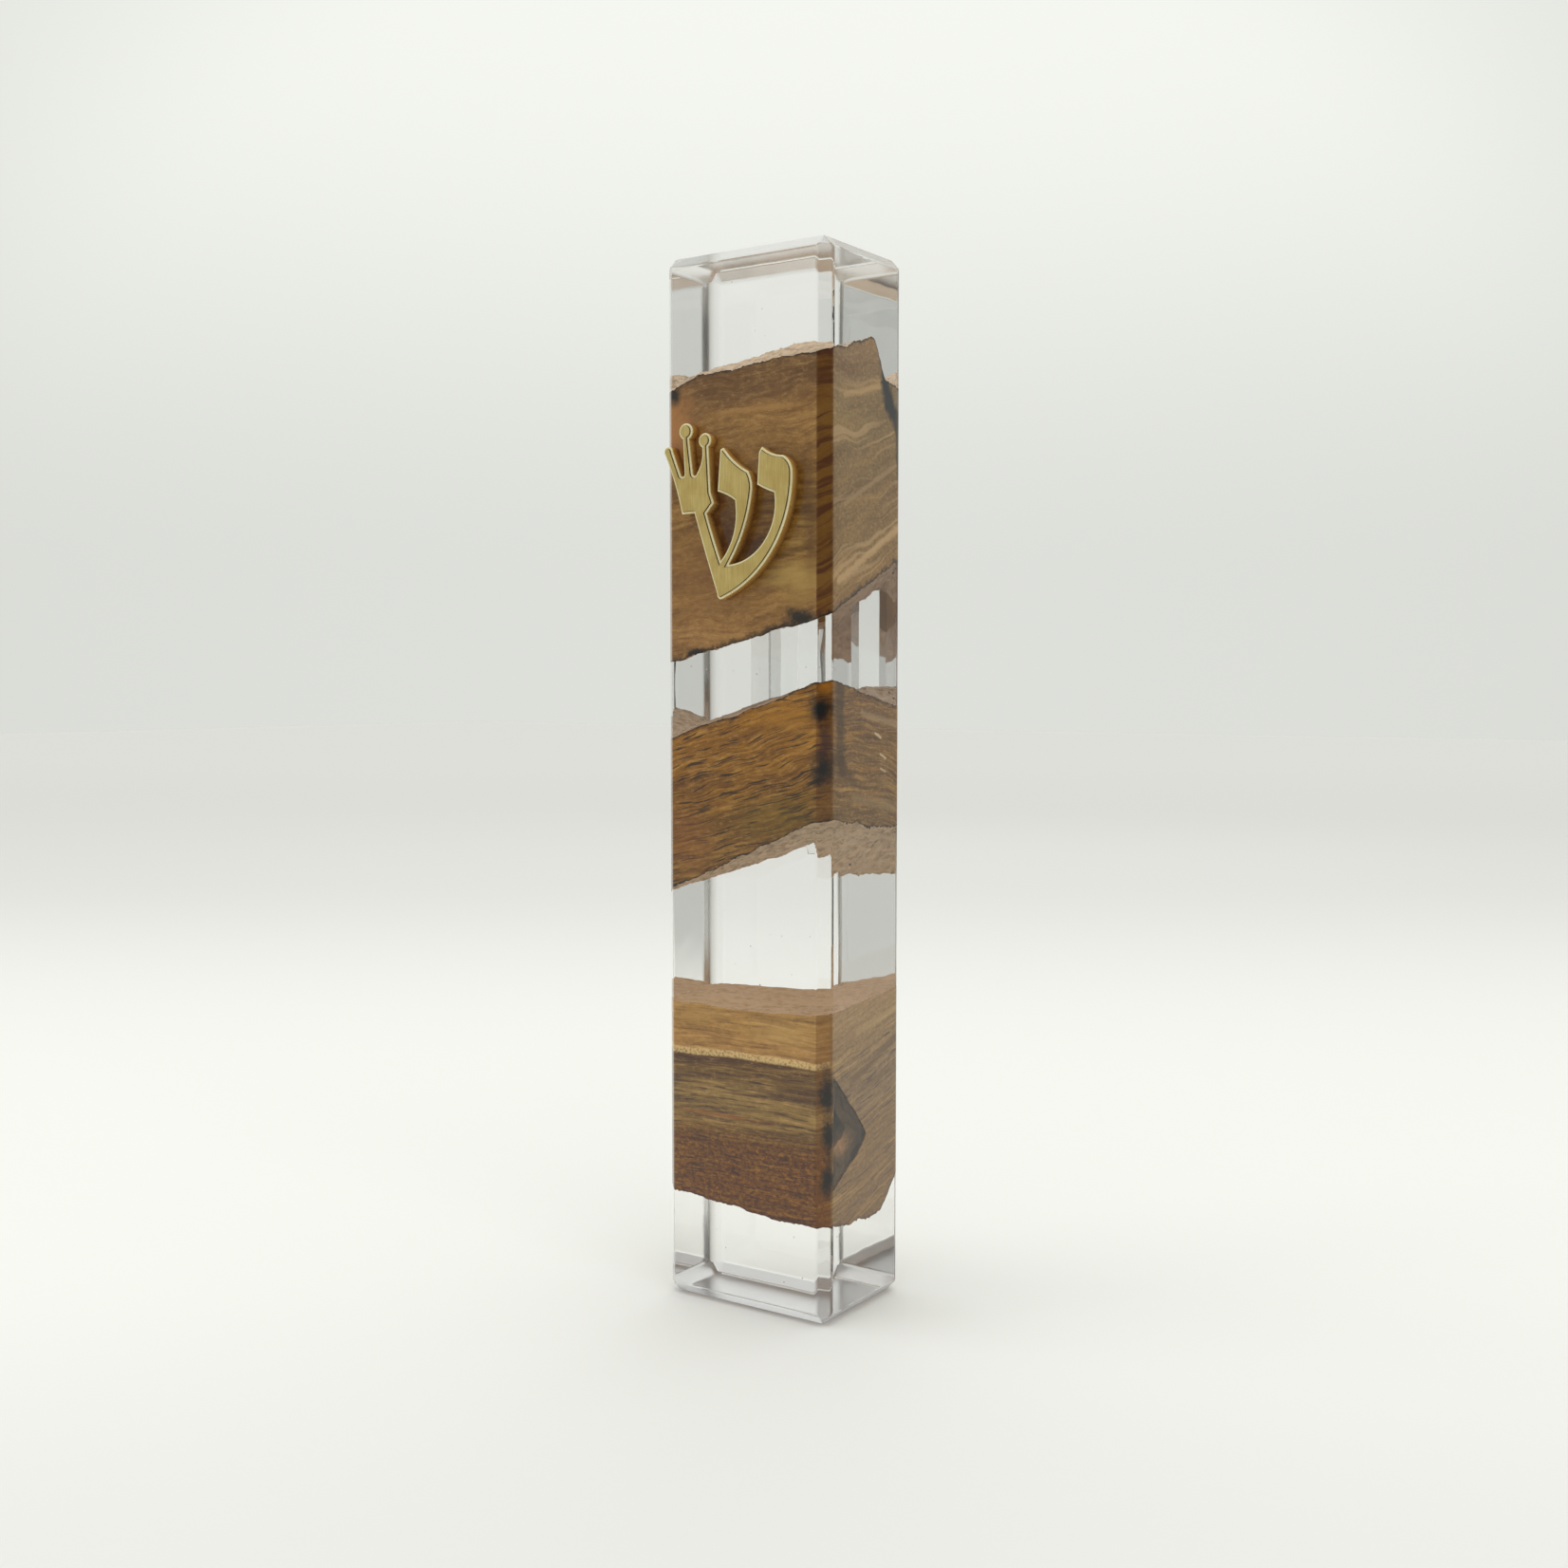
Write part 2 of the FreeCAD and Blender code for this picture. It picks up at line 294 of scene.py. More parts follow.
class TornBlock:
    """One block's upper and lower surfaces, torn, as functions and as solids."""

    def __init__(self, node, top_size, bottom_size, seed):
        self.top_map = HeightMap(node, True)
        self.bottom_map = HeightMap(node, False)
        self.sizes = (top_size, bottom_size)
        self.seed = seed
        low, high = box_mm(node)
        spare = 1.5    # room for what stands above and below the CAD block
        self.low, self.high = low.z - spare, high.z + spare

    def top(self, x, y):
        return self.top_map.at(x, y) + roughness_of(x, y, self.seed, self.sizes[0])

    def bottom(self, x, y):
        return self.bottom_map.at(x, y) + roughness_of(x, y, -self.seed, self.sizes[1])

    def solid(self, name, sink):
        """A closed solid that reaches past the bar's sides."""
        margin = 1.0
        xs = np.arange(-HALF_WIDTH - margin, HALF_WIDTH + margin + GRID, GRID)
        ys = np.arange(-HALF_DEPTH - margin, HALF_DEPTH + margin + GRID, GRID)
        wide, deep = len(xs), len(ys)
        points = [(x, y, self.top(x, y) - sink) for y in ys for x in xs]
        points += [(x, y, self.bottom(x, y) + sink) for y in ys for x in xs]
        below = wide * deep    # from a point above to the one under it
        faces = []
        for j in range(deep - 1):
            for i in range(wide - 1):
                a = j * wide + i
                b, c, d = a + 1, a + wide + 1, a + wide
                faces += [[a, b, c], [a, c, d]]
                faces += [[below + a, below + c, below + b],
                          [below + a, below + d, below + c]]
        rim = list(range(wide))
        rim += [j * wide + wide - 1 for j in range(1, deep)]
        rim += [(deep - 1) * wide + i for i in range(wide - 2, -1, -1)]
        rim += [j * wide for j in range(deep - 2, 0, -1)]
        for k, here in enumerate(rim):
            there = rim[(k + 1) % len(rim)]
            faces.append([below + here, below + there, there, here])
        return new_object(name, points, faces)


TORN = {
    "upper_wood": TornBlock("upper_wood", 0.8, 0.9, 4.0),
    "middle_wood": TornBlock("middle_wood", 0.6, 0.9, 11.0),
    "lower_wood": TornBlock("lower_wood", 0.35, 0.9, 23.0),
}


# -------------------- node materials
class Paint:
    """A node tree, with short ways to add the nodes used here. Its colour so far is in
    self.colour, and lay() adds to it."""

    def __init__(self, name, owner=None, output="ShaderNodeOutputMaterial"):
        self.owner = owner or bpy.data.materials.new(name)
        self.owner.use_nodes = True
        self.tree = self.owner.node_tree
        self.tree.nodes.clear()
        self.output = self.tree.nodes.new(output)
        self._place = None
        self.colour = None

    def add(self, kind, settings=None, **inputs):
        """A node with settings and inputs; an input is a value or another's output."""
        node = self.tree.nodes.new("ShaderNode" + kind)
        for key, value in (settings or {}).items():
            setattr(node, key, value)
        for key, value in inputs.items():
            socket = node.inputs[int(key[1:]) if key[0] == "_" else key.replace("_", " ")]
            if isinstance(value, bpy.types.NodeSocket):
                self.tree.links.new(value, socket)
            else:
                socket.default_value = value
        return node

    def place(self):
        """Where the surface is, in the model's frame, in millimetres."""
        if self._place is None:
            where = self.add("TexCoord").outputs["Object"]
            self._place = self.add("VectorMath", {"operation": "SCALE"},
                                   _0=where, Scale=1 / MM).outputs[0]
        return self._place

    def math(self, operation, a, b=0.0, c=0.0):
        return self.add("Math", {"operation": operation}, _0=a, _1=b, _2=c).outputs[0]

    def plus(self, a, b):
        return self.math("ADD", a, b)

    def less(self, a, b):
        return self.math("SUBTRACT", a, b)

    def times(self, a, b):
        return self.math("MULTIPLY", a, b)

    def scaled(self, a, factor, added):
        """a times factor, plus added."""
        return self.math("MULTIPLY_ADD", a, factor, added)

    def swing(self, wave, width, around):
        """around, moved to and fro by a wave of 0 to 1 and the width given."""
        return self.scaled(self.less(wave, 0.5), width, around)

    def vector(self, operation, a, b=(0, 0, 0)):
        return self.add("VectorMath", {"operation": operation}, _0=a, _1=b).outputs[0]

    def stretched(self, factors):
        """The place, with each axis scaled, for a noise that is drawn out."""
        return self.vector("MULTIPLY", self.place(), factors)

    def length(self, a):
        return self.add("VectorMath", {"operation": "LENGTH"}, _0=a).outputs["Value"]

    def dot(self, a, b):
        settings = {"operation": "DOT_PRODUCT"}
        return self.add("VectorMath", settings, _0=a, _1=b).outputs["Value"]

    def axes(self, vector):
        return self.add("SeparateXYZ", _0=vector).outputs

    def join(self, x, y, z):
        return self.add("CombineXYZ", _0=x, _1=y, _2=z).outputs[0]

    def noise(self, vector, scale=1.0, detail=2.0, roughness=0.5):
        return self.add("TexNoise", Vector=vector, Scale=scale, Detail=detail,
                        Roughness=roughness).outputs["Fac"]

    def ramp(self, value, stops):
        """A colour ramp over 0 to 1. Each stop is (place, colour)."""
        node = self.add("ValToRGB", _0=value)
        elements = node.color_ramp.elements
        while len(elements) < len(stops):
            elements.new(0.5)
        for element, (where, colour) in zip(elements, stops):
            element.position = where
            element.color = (*colour, 1.0)
        return node.outputs["Color"]

    def between(self, value, start, end, low=0.0, high=1.0, smooth=True):
        """value, mapped from start..end to low..high."""
        settings = {"interpolation_type": "SMOOTHSTEP" if smooth else "LINEAR"}
        return self.add("MapRange", settings, _0=value, _1=start, _2=end,
                        _3=low, _4=high).outputs[0]

    def mix(self, factor, a, b):
        """Two colours, mixed."""
        node = self.add("Mix", {"data_type": "RGBA"}, _0=factor)
        for key, value in ((6, a), (7, b)):
            if isinstance(value, bpy.types.NodeSocket):
                self.tree.links.new(value, node.inputs[key])
            else:
                node.inputs[key].default_value = (*value, 1.0)
        return node.outputs[2]

    def lay(self, mask, colour):
        """Lays a linear colour over what is there, where the mask is."""
        self.colour = self.mix(mask, self.colour, colour)

    def attribute(self, name):
        return self.add("Attribute", {"attribute_name": name}).outputs["Fac"]

    def bump(self, height, distance_mm, strength=1.0):
        return self.add("Bump", Height=height, Distance=distance_mm * MM,
                        Strength=strength).outputs[0]

    def finish(self, shader):
        """Ends the tree with a shader node."""
        self.tree.links.new(shader.outputs[0], self.output.inputs["Surface"])
        return self.owner

    def surface(self, **inputs):
        """Ends the tree with an opaque surface of the colour so far."""
        return self.finish(self.add("BsdfPrincipled", Base_Color=self.colour, **inputs))


def rgb(red, green, blue):
    """A display colour, 0 to 255, as the linear colour that shaders take."""
    def linear(value):
        value /= 255
        return value / 12.92 if value < 0.04045 else ((value + 0.055) / 1.055) ** 2.4
    return tuple(linear(v) for v in (red, green, blue))


# -------------------- clear materials
def clear_material(name, ior, tint, wave_mm, frost=0.0, shade=1.0, straight=0.0,
                   rim_shade_tint=None):
    """Clear cast plastic: glass to the eye, and open to light so that no block of it
    throws a black shadow. Its polish is very slightly wavy, or frosted. shade is the
    share of the light that it lets by, and straight the share of the sight that passes
    straight through. On a rear bevel, the rim tint is a greyer tint next to the bar's
    side: painted shade for the dimmer light that the bevel lets through from there."""
    paint = Paint(name)
    waves = paint.noise(paint.place(), scale=0.16, detail=1.0)
    colour = (*tint, 1.0)
    if rim_shade_tint:
        # painted shade: a greyer tint where the rear bevel meets the bar's side
        y = paint.axes(paint.place())[1]
        across = paint.between(y, HALF_DEPTH - BEVEL, HALF_DEPTH - 0.3 * BEVEL)
        colour = paint.mix(across, rim_shade_tint, tint)
    glass = paint.add("BsdfGlass", Color=colour, Roughness=frost, IOR=ior,
                      Normal=paint.bump(waves, wave_mm)).outputs[0]
    passing = tuple(shade * value for value in tint)
    open_to_light = paint.add("BsdfTransparent", Color=(*passing, 1.0)).outputs[0]
    lamp_ray = paint.add("LightPath").outputs["Is Shadow Ray"]
    passed = paint.math("MAXIMUM", lamp_ray, straight)
    return paint.finish(paint.add("MixShader", _0=passed, _1=glass, _2=open_to_light))


RESIN_IOR = 1.5
ACRYLIC_IOR = 1.49
RESIN_WAVE = 0.04        # height of the slight waves in the resin's polish
ACRYLIC_WAVE = 0.02
RESIN_TINT = (0.985, 0.985, 0.98)

CLEAR_RESIN = clear_material("clear_resin", RESIN_IOR, RESIN_TINT, RESIN_WAVE)
MILLED_RESIN = clear_material("milled_resin", RESIN_IOR, RESIN_TINT, RESIN_WAVE,
                              frost=0.6, straight=0.85)
END_RESIN = clear_material("end_resin", RESIN_IOR, (0.93, 0.93, 0.94), RESIN_WAVE,
                           frost=0.26)
BASE_RESIN = clear_material("base_resin", RESIN_IOR, (0.90, 0.90, 0.93), RESIN_WAVE,
                            frost=0.30, shade=0.3)
# the greyer rim tint on the rear bevels is painted shade
GROUND_RESIN = clear_material("ground_resin", RESIN_IOR, (0.97, 0.97, 0.965), RESIN_WAVE,
                              frost=0.35, rim_shade_tint=(0.74, 0.73, 0.71))
CLEAR_ACRYLIC = clear_material("clear_acrylic", ACRYLIC_IOR, (0.99, 0.995, 0.995),
                               ACRYLIC_WAVE)


# -------------------- wood materials
WOOD_LIGHT = 0.75        # how much light falls on the wood behind its gloss
GLOSS_LIGHT = 0.026      # what the gloss itself adds to every colour
SIDE_GLOSS = 0.042       # and what it adds on the right side
PATCH_Y = -9.6           # how far forward the patches on the front lie


def lit(red, green, blue, gloss=GLOSS_LIGHT):
    """The wood's own colour, from the display colour it has once lit and glossy."""
    return tuple(max(0.003, (value - gloss) / WOOD_LIGHT)
                 for value in rgb(red, green, blue))


class WoodPaint(Paint):
    """A finish of wood in the making."""

    def grain_runs(self, tilt, side_tilt, curl, warp):
        """Sets the coordinates of the wood: along the fibre, up across it, and deeper
        in. The fibre runs round the corner: at tilt degrees on the front and side_tilt
        on the right side, where the tilt falls by curl degrees for each millimetre up
        from a height."""
        x, y, z = self.axes(self.place())
        rate, level = curl
        back = self.plus(y, HALF_DEPTH)
        slope = self.scaled(self.less(z, level), -math.radians(rate),
                            math.tan(math.radians(side_tilt)))
        up = self.scaled(x, -math.tan(math.radians(tilt)), z)
        up = self.less(up, self.times(back, slope))
        wander = self.noise(self.stretched((0.05, 0.07, 0.07)))
        ripple = self.noise(self.stretched((0.16, 0.2, 0.4)))
        up = self.swing(wander, warp * 4, up)
        self.up = self.swing(ripple, warp, up)
        self.along = self.plus(x, back)
        self.deep = self.less(x, back)

    def fibres(self, stretch, inwards, fine, detail, rough):
        """A noise, 0 to 1, drawn out along the grain and fine across it."""
        vector = self.join(self.times(self.along, stretch), inwards,
                           self.times(self.up, fine))
        return self.noise(vector, 1.0, detail, rough)

    def streaks(self, stretch, fine, seed, rough=0.62):
        """Fibre streaks, 0 to 1."""
        inwards = self.scaled(self.deep, stretch * 0.7, seed)
        return self.fibres(stretch, inwards, fine, 4.0, rough)

    def pores(self, stretch, fine, cut):
        """Short dark pore lines along the grain: 1 in a pore and 0 elsewhere."""
        inwards = self.times(self.deep, stretch * 0.8)
        lines = self.fibres(stretch, inwards, fine, 1.5, 0.45)
        return self.between(lines, cut, cut + 0.09)

    def corner_face(self):
        """1 on the bevel between the front and the right side, and 0 elsewhere."""
        x, y, z = self.axes(self.place())
        edge = HALF_WIDTH + HALF_DEPTH - BEVEL
        return self.between(self.less(x, y), edge - 0.12, edge - 0.02)

    def right_side(self):
        """1 on the right side, and 0 elsewhere."""
        x, y, z = self.axes(self.place())
        return self.between(x, HALF_WIDTH - 0.3, HALF_WIDTH - 0.05)

    def less_aside(self, amount):
        """1, and less by the amount on the right side."""
        return self.scaled(self.right_side(), -amount, 1.0)

    def spot(self, centre, size, ragged):
        """A soft-edged patch, 1 at its centre, with a ragged outline. size is per
        axis. A centre of two numbers, (x, z), is on the front."""
        if len(centre) == 2:
            centre = (centre[0], PATCH_Y, centre[1])
        place = self.place()
        away = self.vector("DIVIDE", self.vector("SUBTRACT", place, centre), size)
        broad = self.noise(place, scale=0.5, detail=3.0, roughness=0.7)
        fine = self.noise(place, scale=2.4, detail=2.0, roughness=0.6)
        far = self.swing(broad, 3 * ragged, self.length(away))
        far = self.swing(fine, ragged, far)
        return self.between(far, 1.15, 0.15)

    def stroke(self, start, end, width, ragged=0.3):
        """A soft line on the right side, from one (y, z) to another: 1 in its middle."""
        x, y, z = self.axes(self.place())
        run = Vector(end) - Vector(start)
        long, across = run.normalized(), Vector((-run.y, run.x)).normalized()
        y = self.less(y, start[0])
        z = self.less(z, start[1])
        along = self.scaled(y, long.x, self.times(z, long.y))
        aside = self.scaled(y, across.x, self.times(z, across.y))
        past = self.math("MAXIMUM", self.times(along, -1.0), self.less(along, run.length))
        past = self.math("MAXIMUM", past, 0.0)
        wobble = self.noise(self.place(), 1.1, 3.0, 0.65)
        aside = self.swing(wobble, width * 4 * ragged, aside)
        far = self.length(self.join(past, aside, 0.0))
        on_side = self.between(x, HALF_WIDTH - 0.6, HALF_WIDTH - 0.2)
        return self.times(on_side, self.between(far, width, width * 0.25))

    def blend(self, mask, amount, tone, gloss=GLOSS_LIGHT):
        """Lays a tone over the colour, as strongly as the amount, where the mask is."""
        self.lay(self.times(mask, amount), lit(*tone, gloss))

    def grade(self, low, high, stops, side_stops):
        """Starts the colour: one ramp up across the fibre from low to high on the
        front, and another on the right side. A stop is its place, 0 to 1, and tone."""
        zone = self.between(self.up, low, high, smooth=False)
        front = self.ramp(zone, [(at, lit(*tone)) for at, *tone in stops])
        side = self.ramp(zone, [(at, lit(*tone, SIDE_GLOSS)) for at, *tone in side_stops])
        self.colour = self.mix(self.right_side(), front, side)

    def figure(self, value, dark, light, depth):
        """Lays a streak value over the colour, towards a dark and a light tone."""
        self.lay(self.between(value, 0.56, 0.32, 0.0, depth), lit(*dark))
        self.lay(self.between(value, 0.50, 0.74, 0.0, depth), lit(*light))

    def speckle(self, amount):
        """Lays on the fine, uneven grain that all of this wood has."""
        grain = self.noise(self.stretched((1.2, 1.6, 2.4)), 1.0, 4.0, 0.75)
        self.lay(self.between(grain, 0.54, 0.36, 0.0, amount), lit(66, 44, 26))
        self.lay(self.between(grain, 0.52, 0.68, 0.0, amount), lit(188, 154, 108))

    def patch(self, ragged, patches):
        """Lays on soft patches, each a centre, a size, an amount and a tone."""
        for centre, size, amount, tone in patches:
            self.blend(self.spot(centre, size, ragged), amount, tone)

    def burn(self, tone, patches):
        """Lays on burnt patches of one tone, each a centre and a size."""
        self.patch(0.5, [(centre, size, 0.95, tone) for centre, size in patches])

    def draw(self, lines):
        """Draws lines on the right side: start, end, width, amount and tone."""
        for start, end, width, amount, tone in lines:
            self.blend(self.stroke(start, end, width), amount, tone, SIDE_GLOSS)

    def char_edges(self, dark, top_reach, bottom_reach):
        """Darkens polished wood next to its torn upper and lower edges."""
        grain = self.noise(self.place(), scale=1.4, detail=3.0, roughness=0.6)
        wobble = self.between(grain, 0.35, 0.7, 0.25, 1.9, smooth=False)
        for name, reach in (("top_gap", top_reach), ("bottom_gap", bottom_reach)):
            near = self.math("DIVIDE", self.attribute(name), self.times(wobble, reach))
            self.lay(self.between(near, 1.0, 0.0, 0.0, 0.85), dark)

    def polished(self, height):
        """Wood cut and polished flush with the resin, under the same clear gloss."""
        return self.surface(Roughness=0.5, Specular_IOR_Level=0.3, Coat_Weight=0.8,
                            Coat_Roughness=0.04, Normal=self.bump(height, 0.006, 0.5))

    def raw(self, height, depth_mm):
        """Wood that was torn or milled and has no gloss of its own."""
        return self.surface(Roughness=0.75, Specular_IOR_Level=0.25,
                            Normal=self.bump(height, depth_mm))


def upper_colour(paint):
    """Olive brown with a golden band, redder below, and a dark bevelled corner, with painted
    shadow of the letter between its arms.
    """
    paint.grain_runs(5.0, 24.0, (0.62, 108.0), 1.8)
    paint.grade(84.0, 126.0, (
        (0.0, 134, 98, 58), (0.15, 158, 119, 76), (0.32, 144, 108, 60),
        (0.50, 136, 102, 56), (0.62, 142, 106, 58), (0.72, 150, 114, 68),
        (0.80, 138, 103, 62), (0.86, 116, 88, 60), (1.0, 118, 90, 62)), (
        (0.0, 140, 108, 70), (0.2, 136, 110, 76), (0.5, 126, 104, 74),
        (0.75, 133, 112, 80), (1.0, 138, 112, 86)))
    fibre = paint.streaks(0.05, 1.1, 0.0)
    fine = paint.streaks(0.16, 3.0, 9.0, 0.7)
    calm = paint.less_aside(0.6)
    paint.figure(paint.streaks(0.05, 0.34, 31.0, 0.5), (100, 72, 42), (164, 126, 76), 0.45)
    paint.figure(fibre, (92, 64, 36), (176, 140, 88), paint.times(calm, 0.26))
    paint.figure(fine, (78, 54, 30), (172, 138, 90), paint.times(calm, 0.34))
    paint.speckle(0.24)
    arcs = paint.between(paint.streaks(0.03, 0.85, 17.0, 0.45), 0.54, 0.68)
    paint.blend(paint.times(paint.right_side(), arcs), 0.6, (172, 142, 104))
    x, y, z = paint.axes(paint.place())
    ripple = paint.noise(paint.join(paint.times(x, 0.18), y, paint.times(z, 1.5)),
                         1.0, 2.0, 0.6)
    rippled = paint.spot((7.2, 103.5), (8.0, 4.0, 12.5), 0.25)
    paint.blend(rippled, 0.35, (112, 86, 44))
    paint.blend(paint.times(rippled, paint.between(ripple, 0.54, 0.38)), 0.75, (84, 62, 32))
    paint.blend(paint.times(rippled, paint.between(ripple, 0.56, 0.7)), 0.6, (160, 132, 74))
    paint.patch(0.4, (
        ((8.2, 97.2), (5.4, 4.0, 2.6), 0.75, (168, 138, 82)),
        ((8.8, 94.4), (3.0, 4.0, 1.6), 0.5, (150, 120, 70)),
        ((3.0, 118.9), (9.0, 3.0, 0.55), 0.7, (164, 126, 78)),
        ((-7.0, 97.0), (9.0, 8.0, 9.0), 0.35, (142, 104, 70)),
        ((1.0, 104.0), (7.0, 8.0, 9.0), 0.40, (88, 60, 34)),
        # painted shadow of the letter: two dark patches in the hollows between its arms
        ((-2.4, 102.4), (2.0, 3.0, 4.0), 0.65, (66, 40, 20)),
        ((1.6, 100.8), (2.6, 3.0, 2.6), 0.65, (66, 40, 20)),
        ((-3.6, 108.5), (1.6, 3.0, 5.0), 0.55, (84, 52, 26)),
        ((9.8, 110.0), (1.2, 3.0, 6.0), 0.40, (90, 62, 30)),
        ((10.6, 104.0), (1.4, 3.0, 9.0), 0.45, (86, 62, 30)),
        ((-11.0, 117.0), (5.0, 5.0, 6.5), 0.95, (160, 114, 72)),
        ((-4.0, 121.8), (5.0, 3.0, 1.0), 0.4, (98, 72, 50)),
        ((-2.5, 112.4), (3.0, 3.0, 2.0), 0.5, (92, 62, 32))))
    paint.burn((46, 28, 16), (
        ((9.5, 91.9), (3.4, 2.0, 1.7)), ((6.0, 90.4), (3.4, 2.0, 0.9)),
        ((-7.5, 87.6), (3.4, 2.0, 0.8)), ((-11.2, 121.8), (1.6, 2.0, 1.6))))
    corner = paint.corner_face()
    paint.blend(corner, 0.8, (96, 64, 6), 0.01)
    dark_fibre = paint.between(fibre, 0.54, 0.40)
    paint.blend(paint.times(corner, dark_fibre), 0.7, (64, 34, 4), 0.01)
    paint.blend(paint.stroke((-8.0, 93.0), (9.0, 99.5), 1.1, 0.6), 0.5, (116, 88, 62))
    paint.draw((
        ((-6.8, 96.6), (8.2, 104.4), 0.8, 0.75, (184, 152, 112)),
        ((-5.4, 106.5), (7.4, 112.6), 0.5, 0.5, (164, 138, 104)),
        ((-5.4, 120.2), (3.9, 122.7), 0.6, 0.7, (168, 138, 98)),
        ((8.3, 125.0), (8.0, 119.8), 1.6, 0.8, (122, 112, 98)),
        ((2.2, 129.5), (4.4, 123.5), 0.9, 0.9, (78, 72, 60)),
        ((4.4, 123.7), (5.5, 120.4), 1.7, 1.0, (56, 56, 52)),
        ((5.5, 120.5), (7.6, 118.2), 1.6, 1.0, (58, 57, 52)),
        ((7.6, 119.0), (8.2, 111.0), 0.9, 0.9, (74, 70, 60))))
    return paint.scaled(fine, 0.6, fibre)


def middle_colour(paint):
    """Golden brown with many dark pore lines, and dark knots on its corner."""
    paint.grain_runs(14.5, -9.0, (0.0, 70.0), 1.2)
    paint.grade(56.0, 84.0, (
        (0.0, 130, 96, 54), (0.2, 130, 98, 56), (0.36, 120, 90, 48),
        (0.52, 138, 98, 48), (0.72, 146, 102, 42), (0.86, 150, 104, 42),
        (1.0, 136, 98, 54)), (
        (0.0, 124, 104, 78), (0.4, 130, 106, 76), (0.8, 126, 100, 72),
        (1.0, 116, 92, 66)))
    fibre = paint.streaks(0.08, 1.5, 3.0)
    paint.figure(paint.streaks(0.07, 0.5, 21.0, 0.5), (94, 66, 32), (172, 124, 58), 0.45)
    paint.figure(fibre, (82, 56, 26), (186, 140, 76), 0.42)
    paint.figure(paint.streaks(0.20, 3.4, 13.0, 0.7), (70, 46, 22), (186, 146, 88), 0.42)
    paint.speckle(0.22)
    dark_lines = paint.times(paint.pores(0.22, 4.0, 0.56), paint.less_aside(0.7))
    paint.blend(dark_lines, 0.8, (44, 28, 12))
    paint.blend(paint.corner_face(), 0.45, (92, 60, 22))
    paint.patch(0.35, (
        ((6.0, 66.0), (9.0, 8.0, 4.0), 0.45, (100, 82, 48)),
        ((-9.0, 62.5), (6.0, 8.0, 5.0), 0.45, (134, 88, 56)),
        ((8.0, 79.0), (8.0, 6.0, 2.6), 0.45, (164, 116, 54)),
        ((12.0, -9.1, 80.2), (2.3, 2.4, 2.8), 1.0, (44, 16, 4)),
        ((12.2, -9.1, 72.6), (2.0, 2.0, 3.4), 1.0, (48, 18, 4)),
        ((12.4, -8.9, 76.4), (1.2, 1.6, 3.4), 0.80, (62, 26, 10)),
        ((12.4, -8.8, 83.6), (1.4, 1.6, 1.6), 0.80, (150, 100, 40))))
    paint.draw((
        ((-6.6, 84.0), (-6.2, 72.5), 1.6, 0.75, (78, 68, 60)),
        ((-8.0, 74.0), (-3.0, 70.5), 1.1, 0.4, (86, 72, 54)),
        ((2.2, 76.9), (3.6, 76.3), 0.28, 0.8, (196, 176, 146)),
        ((3.5, 74.1), (4.9, 73.5), 0.24, 0.8, (190, 170, 140)),
        ((3.6, 72.2), (4.8, 71.7), 0.22, 0.7, (186, 166, 134)),
        ((-1.0, 79.6), (7.5, 78.0), 0.7, 0.45, (160, 138, 108)),
        ((-3.0, 68.6), (8.5, 66.6), 1.1, 0.4, (148, 126, 96))))
    return paint.scaled(dark_lines, -0.8, fibre)


